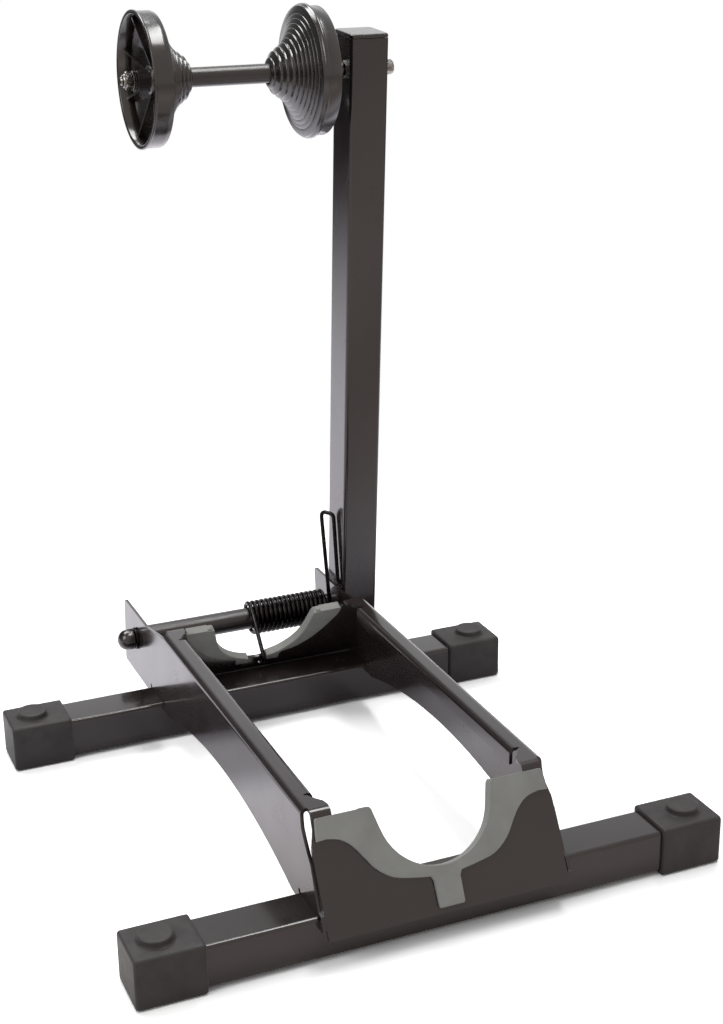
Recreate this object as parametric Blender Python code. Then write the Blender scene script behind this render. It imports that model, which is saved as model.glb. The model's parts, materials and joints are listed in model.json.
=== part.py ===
# Floor stand for parking a bicycle: two crossbars in rubber caps, a folded steel cradle with
# two notched plates for the wheel, and a sprung arm that carries a double-cone spool.
# X runs along the crossbars, Y from the front crossbar to the arm, Z is up.
import math

import bmesh
import bpy
from mathutils import Matrix, Vector

# Sizes in millimetres
MM = 0.001
GAP = 0.3                 # running and seating clearance between separate pieces

# Crossbars, rectangular tube lying flat
TUBE_DEEP = 29.8
TUBE_TALL = 26.8
TUBE_WALL = 1.6
TUBE_CORNER = 2.4
BAR_SPACING = 290.8       # centre of the front bar to centre of the rear bar
OVERALL_WIDTH = 368.3

# Moulded end caps
CAP_LONG = 40.7
CAP_DEEP = 35.0
CAP_TALL = 31.6
CAP_END = 3.0
CAP_SOLE = 2.0
CAP_EDGE = 1.8
PEG_R = 9.9
PEG_TALL = 4.0
PEG_ROOT = 1.6            # how far the peg's root reaches down into the cap's top
PEG_OUT = 3.0             # peg's centre outward of the cap's centre

# Folded cradle
SHEET = 2.2
TRAY_W = 152.4            # across the two flange bends
TRAY_TOP = 81.5
SPLAY = 0.03              # the side webs open outward going down, mm per mm
OUTER_BEND = 4.0
INNER_BEND = 3.4
FLANGE_W = 13.4
LIP_DEEP = 10.7
RAIL_START = 15.0         # front end of the bend between flange and web
LIP_START = 30.0
TAB_W = 16.2              # from each front tab's inner edge to the cradle's side
PLATE_LEAN = 0.53         # run of a cradle plate per mm of height
PLATE_OUT = 17.5          # plate face to crossbar centre, at the height of the bar's top
PLATE_BEND = 4.5
PLATE_SIDE = 0.8          # plate's side edge inward of the cradle's side
PLATE_FOOT = 18.0
EAR_BACK = 29.9           # ear behind the pivot
EAR_UP = 19.2             # ear above the pivot
WEB_BOTTOM = 23.4
TOE_DROP = 1.4            # the web's front toe reaches lower than the rest
ARCH_RISE = 16.8
ARCH_START = 26.5         # both ends of the arch, measured from the nearest bar's centre
RELIEF_R = 1.6

# Wheel notch and its liner
NOTCH_R = 35.0            # free opening between the liner lips
NOTCH_LOW = 14.4          # lowest point above the bar's top, measured along the plate
NOTCH_FLARE = math.radians(14)
LINER_PAD = 2.0
LINER_LIP = 1.3
LINER_TOP = 54.9
LINER_BACK = 5.5
LINER_EDGE = 0.5          # broken edges of the liner's section
TONGUE_LOW = 9.1          # front tongue's lower edge below the bar's top, along the plate

# Pivot through both ears
AXLE_BACK = 51.2          # behind the rear bar's centre
AXLE_Z = 51.6
BOLT_R = 4.0
SPACER_R = 8.0
SPACER_BORE = 4.5
WASHER = 1.2
EAR_GAP = 0.4             # washer to the slightly splayed ear

# Arm, rectangular tube
ARM_W = 27.2
ARM_D = 31.0
ARM_WALL = 1.8
ARM_CORNER = 2.6
ARM_LEAN = math.radians(4.2)
ARM_OVER = 24.0           # tube end above the spool's axis, along the arm
ARM_DOWN = 37.5           # tube end below the pivot
PIN_DOWN = 20.0           # stop pin below the pivot
PLUG = 2.6

# Spool on the arm
SPOOL_UP = 398.0
SPOOL_LONG = 134.6        # length of the core tube
SPOOL_BOLT_R = 3.0
CORE_R = 6.3
CORE_BORE = 4.6
JAM_NUT = 5.1
BUSH_FLANGE = 1.2
LOCK_NUT = 5.6
CONE_R = 43.4

# Torsion spring
WIRE_R = 1.5
COIL_R = 11.3
COIL_LEFT = 9.9
COIL_END = 4.4            # last turn's centre line to the ear
COIL_PITCH = 3.588
POINTS_PER_TURN = 10
HOOK_FRONT = 10.0         # spring's hole in the arm, ahead of the pivot and above it
HOOK_UP = 21.8
HAIRPIN_UP = 73.7

BAR_LOW = CAP_SOLE + GAP
BAR_MID = BAR_LOW + TUBE_TALL / 2
BAR_TOP = BAR_LOW + TUBE_TALL
AXLE_Y = BAR_SPACING + AXLE_BACK
EAR_REAR = AXLE_Y + EAR_BACK
EAR_TOP = AXLE_Z + EAR_UP
PLATE_HALF = TRAY_W / 2 - PLATE_SIDE
TAB_IN = TRAY_W / 2 - TAB_W
ARM_UP = SPOOL_UP + ARM_OVER
LEAN_ANGLE = math.atan(PLATE_LEAN)

# The origin is midway between the front liner's tongue and the rear edges of the ears
FRONT_Y = -PLATE_OUT - math.sin(LEAN_ANGLE) * (TONGUE_LOW - LINER_EDGE) - math.cos(LEAN_ANGLE) * (GAP + LINER_PAD)
MID_Y = (EAR_REAR + FRONT_Y) / 2

for old in list(bpy.data.objects):
    bpy.data.objects.remove(old, do_unlink=True)


def place(x, y, z):
    """A point of the stand in metres."""
    return Vector((x * MM, (y - MID_Y) * MM, z * MM))


def finish(ob, colour, rough, metal):
    mat = bpy.data.materials.new(ob.name + "_finish")
    mat.use_nodes = True
    shader = mat.node_tree.nodes["Principled BSDF"]
    shader.inputs["Base Color"].default_value = (*colour, 1.0)
    shader.inputs["Roughness"].default_value = rough
    shader.inputs["Metallic"].default_value = metal
    mat.diffuse_color = (*colour, 1.0)
    ob.data.materials.clear()
    ob.data.materials.append(mat)


BLACK_PAINT = ((0.012, 0.012, 0.013), 0.28, 0.0)
RUBBER = ((0.035, 0.034, 0.034), 0.75, 0.0)
GREY_RUBBER = ((0.19, 0.20, 0.185), 0.70, 0.0)
BLACK_PLASTIC = ((0.016, 0.016, 0.016), 0.38, 0.0)
ZINC = ((0.55, 0.55, 0.54), 0.32, 1.0)
BLACK_STEEL = ((0.030, 0.030, 0.032), 0.30, 1.0)
BRONZE = ((0.42, 0.30, 0.16), 0.40, 1.0)


def mesh_object(name, verts, faces, look, origin=(0.0, 0.0, 0.0), smooth=None):
    """Closed mesh from millimetre points that are measured from origin."""
    bm = bmesh.new()
    made = [bm.verts.new([c * MM for c in v]) for v in verts]
    for face in faces:
        bm.faces.new([made[i] for i in face])
    bmesh.ops.recalc_face_normals(bm, faces=bm.faces)
    mesh = bpy.data.meshes.new(name)
    bm.to_mesh(mesh)
    bm.free()
    ob = bpy.data.objects.new(name, mesh)
    bpy.context.scene.collection.objects.link(ob)
    ob.location = place(*origin)
    if look is not None:
        finish(ob, *look)
    if smooth is not None:
        shade(ob, smooth)
    return ob


def shade(ob, degrees):
    """Smooth shading with edges above the angle kept sharp."""
    bm = bmesh.new()
    bm.from_mesh(ob.data)
    limit = math.radians(degrees)
    for face in bm.faces:
        face.smooth = True
    for edge in bm.edges:
        edge.smooth = len(edge.link_faces) == 2 and edge.calc_face_angle(0.0) < limit
    bm.to_mesh(ob.data)
    bm.free()


def cut(ob, cutter):
    """Take the cutter's shape away from the piece."""
    mod = ob.modifiers.new("cut_" + cutter.name, "BOOLEAN")
    mod.operation = "DIFFERENCE"
    mod.solver = "EXACT"
    mod.object = cutter
    hide(cutter)


def join(ob, other):
    mod = ob.modifiers.new("join_" + other.name, "BOOLEAN")
    mod.operation = "UNION"
    mod.solver = "EXACT"
    mod.object = other
    hide(other)


def hide(ob):
    ob.hide_render = True
    ob.hide_viewport = True
    ob.display_type = "WIRE"


def loft(rings, close_ends=True):
    """Faces between equal rings of points; the ends are filled."""
    n = len(rings[0])
    verts = [p for ring in rings for p in ring]
    faces = []
    for k in range(len(rings) - 1):
        a, b = k * n, (k + 1) * n
        faces += [(a + i, a + (i + 1) % n, b + (i + 1) % n, b + i) for i in range(n)]
    if close_ends:
        faces.append(tuple(range(n))[::-1])
        faces.append(tuple(range((len(rings) - 1) * n, len(rings) * n)))
    else:
        a = (len(rings) - 1) * n
        faces += [(a + i, a + (i + 1) % n, (i + 1) % n, i) for i in range(n)]
    return verts, faces


def arc(cx, cy, r, start, end, steps):
    """Points on an arc, angles in degrees."""
    out = []
    for k in range(steps + 1):
        a = math.radians(start + (end - start) * k / steps)
        out.append((cx + r * math.cos(a), cy + r * math.sin(a)))
    return out


def rounded_rect(w, h, r, steps=4):
    """Corner-rounded rectangle around the origin, counter-clockwise."""
    x, y = w / 2 - r, h / 2 - r
    return (arc(x, y, r, 0, 90, steps) + arc(-x, y, r, 90, 180, steps)
            + arc(-x, -y, r, 180, 270, steps) + arc(x, -y, r, 270, 360, steps))


def revolve(name, profile, look, origin, segments=40, smooth=30):
    """Closed (x, r) profile turned around the X axis; points with r = 0 lie on the axis."""
    verts, index = [], []
    for x, r in profile:
        if r < 1e-6:
            index.append([len(verts)])
            verts.append((x, 0.0, 0.0))
        else:
            first = len(verts)
            index.append([first + k for k in range(segments)])
            for k in range(segments):
                a = 2 * math.pi * k / segments
                verts.append((x, r * math.cos(a), r * math.sin(a)))
    faces = []
    for i in range(len(profile)):
        one, two = index[i], index[(i + 1) % len(profile)]
        if len(one) == 1 and len(two) == 1:
            continue
        for k in range(segments):
            m = (k + 1) % segments
            if len(one) == 1:
                faces.append((one[0], two[k], two[m]))
            elif len(two) == 1:
                faces.append((one[k], one[m], two[0]))
            else:
                faces.append((one[k], one[m], two[m], two[k]))
    return mesh_object(name, verts, faces, look, origin, smooth)


def ring_profile(x0, x1, r_in, r_out):
    """Washer or sleeve section."""
    return [(x0, r_in), (x0, r_out), (x1, r_out), (x1, r_in)]


def hexagon(name, x0, x1, flats, look, origin, bore=None, crown=0.8):
    """Hexagon nut or bolt head along X, corners turned down at both ends."""
    corner = flats / math.sqrt(3)
    face_r = flats / 2 * 0.95
    count = 24
    rings = []
    for x, scale in ((x0, 0), (x0 + crown, 1), (x1 - crown, 1), (x1, 0)):
        ring = []
        for k in range(count):
            a = 2 * math.pi * k / count
            fold = (a + math.pi / 6) % (math.pi / 3) - math.pi / 6
            hexa = flats / 2 / math.cos(fold)
            r = min(hexa, corner) if scale else min(face_r, hexa)
            ring.append((x, r * math.cos(a), r * math.sin(a)))
        rings.append(ring)
    if bore is None:
        verts, faces = loft(rings)
    else:
        for x in (x1, x0):
            rings.append([(x, bore * math.cos(2 * math.pi * k / count),
                           bore * math.sin(2 * math.pi * k / count)) for k in range(count)])
        verts, faces = loft(rings, close_ends=False)
    return mesh_object(name, verts, faces, look, origin, 20)


def cylinder_cutter(name, x0, x1, r, origin, segments=24):
    return revolve(name, [(x0, 0), (x0, r), (x1, r), (x1, 0)], None, origin, segments)


# Crossbars: rectangular tube with rounded corners, open at both ends
def crossbar(name, length, y):
    outer = rounded_rect(TUBE_DEEP, TUBE_TALL, TUBE_CORNER)
    inner = rounded_rect(TUBE_DEEP - 2 * TUBE_WALL, TUBE_TALL - 2 * TUBE_WALL, TUBE_CORNER - TUBE_WALL + 0.2)
    h = length / 2
    rings = [[(-h, a, b) for a, b in outer], [(h, a, b) for a, b in outer],
             [(h, a, b) for a, b in inner], [(-h, a, b) for a, b in inner]]
    verts, faces = loft(rings, close_ends=False)
    return mesh_object(name, verts, faces, BLACK_PAINT, (0, y, BAR_MID), 20)


BAR_LENGTH = OVERALL_WIDTH - 2 * (CAP_END + GAP)
crossbar("front_crossbar", BAR_LENGTH, 0.0)
crossbar("rear_crossbar", BAR_LENGTH, BAR_SPACING)


# End caps: rounded rubber socks with a thicker sole and a round peg on top
def end_cap(name, side, y):
    shift = BAR_MID - CAP_TALL / 2        # pocket centre above the cap's centre
    skin = []
    for k in range(5):
        a = math.pi / 2 * k / 4
        inset = CAP_EDGE * (1 - math.sin(a))
        skin.append((CAP_LONG / 2 - CAP_EDGE * (1 - math.cos(a)), inset))
    rings = []
    for x, inset in skin[::-1]:
        pts = rounded_rect(CAP_DEEP - 2 * inset, CAP_TALL - 2 * inset, max(CAP_EDGE + 0.6 - inset, 0.7))
        rings.append([(side * x, a, b) for a, b in pts])
    rings = rings[::-1]
    rim = -CAP_LONG / 2
    for x, inset in ((rim + 0.8, 0.0), (rim, 0.6)):
        pts = rounded_rect(CAP_DEEP - 2 * inset, CAP_TALL - 2 * inset, CAP_EDGE)
        rings.append([(side * x, a, b) for a, b in pts])
    for x in (rim, CAP_LONG / 2 - CAP_END):
        pts = rounded_rect(TUBE_DEEP + 2 * GAP, TUBE_TALL + 2 * GAP, TUBE_CORNER + 0.2)
        rings.append([(side * x, a, b + shift) for a, b in pts])
    verts, faces = loft(rings)
    centre = (side * (OVERALL_WIDTH - CAP_LONG) / 2, y, CAP_TALL / 2)
    cap = mesh_object(name, verts, faces, RUBBER, centre, 40)
    tall = PEG_TALL + PEG_ROOT
    profile = [(0, 0), (0, PEG_R), (tall - 0.7, PEG_R), (tall, PEG_R - 0.7), (tall, 0)]
    peg = revolve(name + "_peg", profile, None, (centre[0] + side * PEG_OUT, y, CAP_TALL - PEG_ROOT), 28, 40)
    peg.rotation_euler = (0, -math.pi / 2, 0)
    join(cap, peg)
    return cap


for bar_name, bar_y in (("front", 0.0), ("rear", BAR_SPACING)):
    for side_name, side in (("left", -1), ("right", 1)):
        end_cap("end_cap_" + bar_name + "_" + side_name, side, bar_y)


# Folded cradle: one blank with two webs, two flanges with turned-down lips, and two plates
WEB_TURN = math.pi / 2 - math.atan(SPLAY)
WEB_SET = OUTER_BEND * math.tan(WEB_TURN / 2)
PLATE_TURN = math.pi / 2 - LEAN_ANGLE
PLATE_SET = PLATE_BEND * math.tan(PLATE_TURN / 2)
BEND_STEPS = 4


def plate_y(z):
    """Outer face of the front plate at a height."""
    return -PLATE_OUT + PLATE_LEAN * (z - BAR_TOP)


PLATE_CORNER_Y = plate_y(TRAY_TOP)        # where the plate's plane meets the flange's plane
TAB_LINE = PLATE_CORNER_Y + PLATE_SET     # start of the front bend


def along_plate(x, q):
    """Point of the front plate's outer face, q measured up the plate from the bar's top."""
    z = BAR_TOP + q * math.cos(LEAN_ANGLE)
    return (x, plate_y(z), z)


def web_x(z):
    return TRAY_W / 2 + SPLAY * (TRAY_TOP - z)


def mirror_y(y):
    return BAR_SPACING - y


WEB_HIGH = TRAY_TOP - OUTER_BEND + OUTER_BEND * math.cos(WEB_TURN)
NOTCH_HALF = TUBE_DEEP / 2 + GAP + 0.1
NOTCH_ROOF = BAR_TOP + GAP


def saddle(y):
    """Web edge over a crossbar, corners relieved by small round cuts."""
    pts = arc(y - NOTCH_HALF, NOTCH_ROOF, RELIEF_R, -90, -360, 6)
    pts += arc(y + NOTCH_HALF, NOTCH_ROOF, RELIEF_R, 180, -90, 6)
    return [(y - NOTCH_HALF, WEB_BOTTOM - (TOE_DROP if y == 0 else 0))] + pts + [(y + NOTCH_HALF, WEB_BOTTOM)]


def web_outline():
    """Web in (y, z), from the front end of the flange bend down and round to its rear end."""
    past_plate = 0.7
    clear = SHEET / math.cos(LEAN_ANGLE) + 0.6
    pts = [(RAIL_START, WEB_HIGH), (RAIL_START - 0.5, WEB_HIGH - 3.0)]
    for down, off in ((11.5, 6.0), (17.5, 4.5), (23.5, 2.0), (26.5, 0.0), (49.5, 0.0)):
        z = TRAY_TOP - down
        pts.append((plate_y(z) + clear + off, z))
    pts.append((plate_y(z - 1.0) - past_plate, z - 1.0))
    toe = WEB_BOTTOM - TOE_DROP
    toe_y = plate_y(toe + 2) - past_plate
    pts += [(toe_y, toe + 2), (toe_y + 0.5, toe + 0.6), (toe_y + 2.0, toe)]
    pts += saddle(0.0)
    a, b = ARCH_START, BAR_SPACING - ARCH_START + 1.0
    half = (b - a) / 2
    radius = (half * half + ARCH_RISE * ARCH_RISE) / (2 * ARCH_RISE)
    swing = math.degrees(math.asin(half / radius))
    mid_z = WEB_BOTTOM + ARCH_RISE - radius
    pts += arc((a + b) / 2, mid_z, radius, 90 + swing, 90 - swing, 18)
    pts += saddle(BAR_SPACING)
    pts += arc(EAR_REAR - 2, WEB_BOTTOM + 2, 2, -90, 0, 3)
    pts += arc(EAR_REAR - 2, EAR_TOP - 2, 2, 0, 90, 3)
    pts += [(mirror_y(-27.2), EAR_TOP), (mirror_y(-22.2), EAR_TOP + 0.5)]
    pts += [(mirror_y(4.8), WEB_HIGH - 1.32), (mirror_y(9.8), WEB_HIGH - 0.52)]
    pts += [(mirror_y(RAIL_START) , WEB_HIGH)]
    return pts


def notch_edge(reach):
    """Half of the U notch in plate axes (x, q), from its lowest point to the top, grown by reach."""
    centre = NOTCH_LOW + NOTCH_R
    r = NOTCH_R + reach
    pts = []
    steps = 11
    for k in range(steps + 1):
        a = (math.pi / 2 - NOTCH_FLARE) * k / steps
        pts.append((r * math.sin(a), centre - r * math.cos(a)))
    x, q = pts[-1]
    top = LINER_TOP - 1.5 - reach * 0.3
    run = (top - q) / math.cos(NOTCH_FLARE)
    pts.append((x + run * math.sin(NOTCH_FLARE), top))
    return pts


def plate_outline():
    """Right half of a plate in (x, q), from the notch's lowest point out to the side and down."""
    edge = notch_edge(LINER_LIP + GAP)
    x, q = edge[-1]
    shelf = (WEB_HIGH - 1.2 - BAR_TOP) / math.cos(LEAN_ANGLE)
    top = (TRAY_TOP - PLATE_BEND * (1 - math.cos(PLATE_TURN)) - BAR_TOP) / math.cos(LEAN_ANGLE)
    foot = (PLATE_FOOT - BAR_TOP) / math.cos(LEAN_ANGLE)
    pts = edge + [(x + 1.2, q + 1.2), (TAB_IN - 3.0, q + 1.4), (TAB_IN - 0.8, shelf - 0.6)]
    pts += [(TAB_IN, shelf + 0.6), (TAB_IN, top), (TRAY_W / 2 - WEB_SET - 0.2, top)]
    pts += [(TRAY_W / 2 - WEB_SET + 0.1, top - 8), (PLATE_HALF - 1.4, top - 14),
            (PLATE_HALF - 0.3, top - 18.5), (PLATE_HALF, top - 22)]
    pts += [(PLATE_HALF, foot + 2.0), (PLATE_HALF - 0.6, foot + 0.6), (PLATE_HALF - 2.0, foot)]
    return pts


def build_cradle():
    verts, faces, lookup = [], [], {}

    def vert(p):
        key = tuple(round(c, 4) for c in p)
        if key not in lookup:
            lookup[key] = len(verts)
            verts.append(p)
        return lookup[key]

    def face(points):
        ids = []
        for p in points:
            i = vert(p)
            if not ids or ids[-1] != i:
                ids.append(i)
        if ids[0] == ids[-1]:
            ids.pop()
        faces.append(tuple(ids))

    y_front, y_rear = RAIL_START, mirror_y(RAIL_START)
    flat_out = TRAY_W / 2 - WEB_SET
    flat_in = TRAY_W / 2 - FLANGE_W + INNER_BEND
    lip_x = TRAY_W / 2 - FLANGE_W
    for side in (1, -1):
        # Web
        web = [(side * web_x(z), y, z) for y, z in web_outline()]
        face(web if side < 0 else web[::-1])
        # Bend between web and flange
        strip = []
        for k in range(BEND_STEPS + 1):
            a = WEB_TURN * k / BEND_STEPS
            strip.append((flat_out + OUTER_BEND * math.sin(a), TRAY_TOP - OUTER_BEND * (1 - math.cos(a))))
        strip[-1] = (web_x(WEB_HIGH), WEB_HIGH)
        for (xa, za), (xb, zb) in zip(strip, strip[1:]):
            quad = [(side * xa, y_front, za), (side * xb, y_front, zb),
                    (side * xb, y_rear, zb), (side * xa, y_rear, za)]
            face(quad if side > 0 else quad[::-1])
        # Flange with a tab at each end and the relief cuts beside the lip
        half = [(flat_in, LIP_START), (flat_in + 2.3, LIP_START - 0.2), (flat_in + 2.3, LIP_START - 1.6),
                (flat_in + 0.6, LIP_START - 2.2), (flat_in - 0.6, LIP_START - 4.6), (flat_in - 3.2, LIP_START - 8.6),
                (flat_in - 5.3, LIP_START - 11.2), (TAB_IN, TAB_LINE + 2.0),
                (TAB_IN, TAB_LINE), (flat_out - 0.2, TAB_LINE), (flat_out, y_front)]
        ring = half + [(x, mirror_y(y)) for x, y in half[::-1]]
        flange = [(side * x, y, TRAY_TOP) for x, y in ring]
        face(flange if side < 0 else flange[::-1])
        # Turned-down inner lip
        strip = []
        for k in range(BEND_STEPS + 1):
            a = math.pi / 2 * k / BEND_STEPS
            strip.append((flat_in - INNER_BEND * math.sin(a), TRAY_TOP - INNER_BEND * (1 - math.cos(a))))
        strip.append((lip_x, TRAY_TOP - LIP_DEEP))
        for (xa, za), (xb, zb) in zip(strip, strip[1:]):
            quad = [(side * xa, LIP_START, za), (side * xb, LIP_START, zb),
                    (side * xb, mirror_y(LIP_START), zb), (side * xa, mirror_y(LIP_START), za)]
            face(quad if side < 0 else quad[::-1])
        # Bends from the tabs down into the two plates
        for flip in (False, True):
            strip = []
            for k in range(BEND_STEPS + 1):
                a = PLATE_TURN * k / BEND_STEPS
                y = TAB_LINE - PLATE_BEND * math.sin(a)
                strip.append((mirror_y(y) if flip else y, TRAY_TOP - PLATE_BEND * (1 - math.cos(a))))
            for (ya, za), (yb, zb) in zip(strip, strip[1:]):
                quad = [(side * TAB_IN, ya, za), (side * (flat_out - 0.2), ya, za),
                        (side * (flat_out - 0.2), yb, zb), (side * TAB_IN, yb, zb)]
                face(quad if (side > 0) == flip else quad[::-1])
    # Plates
    right = plate_outline()
    ring = right + [(-x, q) for x, q in right[::-1]][:-1]
    for flip in (False, True):
        pts = []
        for x, q in ring:
            px, py, pz = along_plate(x, q)
            pts.append((px, mirror_y(py) if flip else py, pz))
        face(pts if flip else pts[::-1])
    return verts, faces


def cradle():
    verts, faces = build_cradle()
    bm = bmesh.new()
    made = [bm.verts.new([c * MM for c in v]) for v in verts]
    for f in faces:
        bm.faces.new([made[i] for i in f])
    bmesh.ops.recalc_face_normals(bm, faces=bm.faces)
    top = max(bm.faces, key=lambda f: f.calc_center_median().z)
    if top.normal.z < 0:
        bmesh.ops.reverse_faces(bm, faces=bm.faces)
    mesh = bpy.data.meshes.new("cradle_tray")
    bm.to_mesh(mesh)
    bm.free()
    ob = bpy.data.objects.new("cradle_tray", mesh)
    bpy.context.scene.collection.objects.link(ob)
    ob.location = place(0, 0, 0)
    finish(ob, *BLACK_PAINT)
    solid = ob.modifiers.new("sheet", "SOLIDIFY")
    solid.thickness = SHEET * MM
    solid.offset = -1.0
    solid.use_even_offset = True
    solid.use_rim = True
    return ob


tray = cradle()
bolt_hole = cylinder_cutter("bolt_hole", -100, 100, BOLT_R + GAP, (0, AXLE_Y, AXLE_Z))
cut(tray, bolt_hole)


# Liners: rubber edging that is pushed over the notch, its front pad widening into wings
def smooth_curve(points, steps):
    """Catmull-Rom curve through the points."""
    out = []
    last = len(points) - 1
    for i in range(last):
        p0 = points[max(i - 1, 0)]
        p1, p2 = points[i], points[i + 1]
        p3 = points[min(i + 2, last)]
        for k in range(steps):
            t = k / steps
            out.append(tuple(0.5 * (2 * b + (c - a) * t + (2 * a - 5 * b + 4 * c - d) * t * t
                                    + (3 * b - a - 3 * c + d) * t * t * t)
                             for a, b, c, d in zip(p0, p1, p2, p3)))
    out.append(points[last])
    return out


def resample(line, count):
    """Equal steps along a polyline."""
    dist = [0.0]
    for (xa, ya), (xb, yb) in zip(line, line[1:]):
        dist.append(dist[-1] + math.hypot(xb - xa, yb - ya))
    out = []
    for k in range(count):
        want = dist[-1] * k / (count - 1)
        i = 0
        while i < len(dist) - 2 and dist[i + 1] < want:
            i += 1
        t = (want - dist[i]) / (dist[i + 1] - dist[i])
        out.append((line[i][0] + (line[i + 1][0] - line[i][0]) * t,
                    line[i][1] + (line[i + 1][1] - line[i][1]) * t))
    return out


def pad_edge(front):
    """Outer edge of the right half of the pad in (x, q), from the tongue's middle to the top."""
    if front:
        tongue = [(0.0, -TONGUE_LOW), (7.1, -TONGUE_LOW), (7.9, 0.8 - TONGUE_LOW), (8.2, 6.6), (9.6, 9.2)]
        sweep = smooth_curve([(9.6, 9.2), (20.8, 11.0), (32.0, 13.9), (41.0, 20.6), (46.6, 28.4),
                              (52.0, 35.6), (58.5, 40.6), (PLATE_HALF - 8.7, 42.6)], 3)
        wing = [(PLATE_HALF - 3.1, 42.2), (PLATE_HALF - 3.3, 46.0), (PLATE_HALF - 4.3, 54.4)]
    else:
        tongue = [(7.0, 10.4), (15.6, 10.4), (16.4, 11.2), (16.6, 14.6), (18.2, 16.6)]
        sweep = smooth_curve([(18.2, 16.6), (28.0, 19.6), (38.0, 25.8), (46.0, 34.0),
                              (52.0, 42.0), (56.6, 49.0)], 3)
        wing = [(58.0, 53.0), (58.2, 55.0)]
    return tongue, sweep[1:], wing


def liner(name, halves, front):
    """C-shaped edging lofted along the notch; halves lists the sides it covers."""
    tongue, sweep, wing = pad_edge(front)
    outer = tongue + sweep + wing
    inner_line = notch_edge(0.0)
    if not front:
        inner_line = [(7.0, NOTCH_LOW + NOTCH_R - math.sqrt(NOTCH_R ** 2 - 49.0))] + [p for p in inner_line if p[0] > 8.0]
    # The tongue takes a short piece of the notch, the sweep and wing share the rest
    split = 8.0 if front else 17.0
    low = [p for p in inner_line if p[0] <= split]
    high = [p for p in inner_line if p[0] > split]
    joint = low[-1]
    inner = resample(low, len(tongue)) + resample([joint] + high, len(sweep) + len(wing) + 1)[1:]
    corner = (inner[-1][0] + 1.2, LINER_TOP)
    inner.append(corner)
    outer.append((outer[-1][0] - 0.8, LINER_TOP if front else 55.8))
    stations = list(zip(inner, outer))
    if len(halves) == 2:
        stations = [((-a[0], a[1]), (-b[0], b[1])) for a, b in stations[:0:-1]] + stations
    elif halves[0] < 0:
        stations = [((-a[0], a[1]), (-b[0], b[1])) for a, b in stations[::-1]]
    pad, under = GAP + LINER_PAD, GAP
    behind = -SHEET - GAP
    rear = behind - 1.2
    normal = Vector((0.0, -math.cos(LEAN_ANGLE), math.sin(LEAN_ANGLE)))
    rings = []
    for (xi, qi), (xo, qo) in stations:
        span = Vector((xo - xi, qo - qi))
        far = span.length
        out = span / far
        back = min(LINER_BACK, far * 0.8)
        edge = LINER_EDGE

        def spot(d, n):
            base = Vector(along_plate(xi + out.x * d, qi + out.y * d))
            p = base + normal * n
            return p

        section = [(edge, pad), (far - edge, pad), (far, pad - edge), (far, under), (LINER_LIP, under),
                   (LINER_LIP, behind), (back, behind), (back, rear), (0.0, rear), (0.0, pad - edge)]
        ring = []
        for d, n in section:
            p = spot(d, n if front else -SHEET - n)
            ring.append((p.x, p.y if front else mirror_y(p.y), p.z))
        rings.append(ring)
    verts, faces = loft(rings)
    return mesh_object(name, verts, faces, GREY_RUBBER, (0, 0, 0), 35)


def liner_lid(body, side):
    """Top of a rear liner, folded over the plate's upper edge."""
    normal = Vector((0.0, -math.cos(LEAN_ANGLE), math.sin(LEAN_ANGLE)))
    near, far = GAP + LINER_PAD + SHEET, GAP + 1.2
    low, high = LINER_TOP - 0.3, LINER_TOP + 1.0
    rings = []
    for x in (side * 42.4, side * 57.4):
        ring = []
        for q, n in ((low, -near), (low, far), (high, far), (high, -near)):
            p = Vector(along_plate(x, q)) + normal * n
            ring.append((p.x, mirror_y(p.y), p.z))
        rings.append(ring)
    verts, faces = loft(rings)
    join(body, mesh_object(body.name + "_lid", verts, faces, None, (0, 0, 0)))


liner("front_liner", (-1, 1), True)
liner_lid(liner("rear_liner_left", (-1,), False), -1)
liner_lid(liner("rear_liner_right", (1,), False), 1)


# Arm: rectangular tube, its own axes centred on the pivot
ARM_LEFT = web_x(AXLE_Z) + EAR_GAP + WASHER + GAP
ARM_MID = ARM_LEFT + ARM_W / 2
ARM_RIGHT = ARM_LEFT + ARM_W
CORE_RIGHT = ARM_LEFT - JAM_NUT - BUSH_FLANGE - 3 * GAP
CORE_LEFT = CORE_RIGHT - SPOOL_LONG
ARM_ROLL = Matrix.Rotation(ARM_LEAN, 3, "X")


def on_arm(y, z):
    """Stand (y, z) of a point given across and along the arm from the pivot."""
    v = ARM_ROLL @ Vector((0.0, y, z))
    return AXLE_Y + v.y, AXLE_Z + v.z


def lean(ob):
    ob.rotation_euler = (ARM_LEAN, 0, 0)
    return ob


def arm_tube():
    outer = rounded_rect(ARM_W, ARM_D, ARM_CORNER)
    inner = rounded_rect(ARM_W - 2 * ARM_WALL, ARM_D - 2 * ARM_WALL, ARM_CORNER - ARM_WALL + 0.2)
    rings = [[(a, b, -ARM_DOWN) for a, b in outer], [(a, b, ARM_UP) for a, b in outer],
             [(a, b, ARM_UP) for a, b in inner], [(a, b, -ARM_DOWN) for a, b in inner]]
    verts, faces = loft(rings, close_ends=False)
    return lean(mesh_object("arm_tube", verts, faces, BLACK_PAINT, (ARM_MID, AXLE_Y, AXLE_Z), 20))


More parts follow.
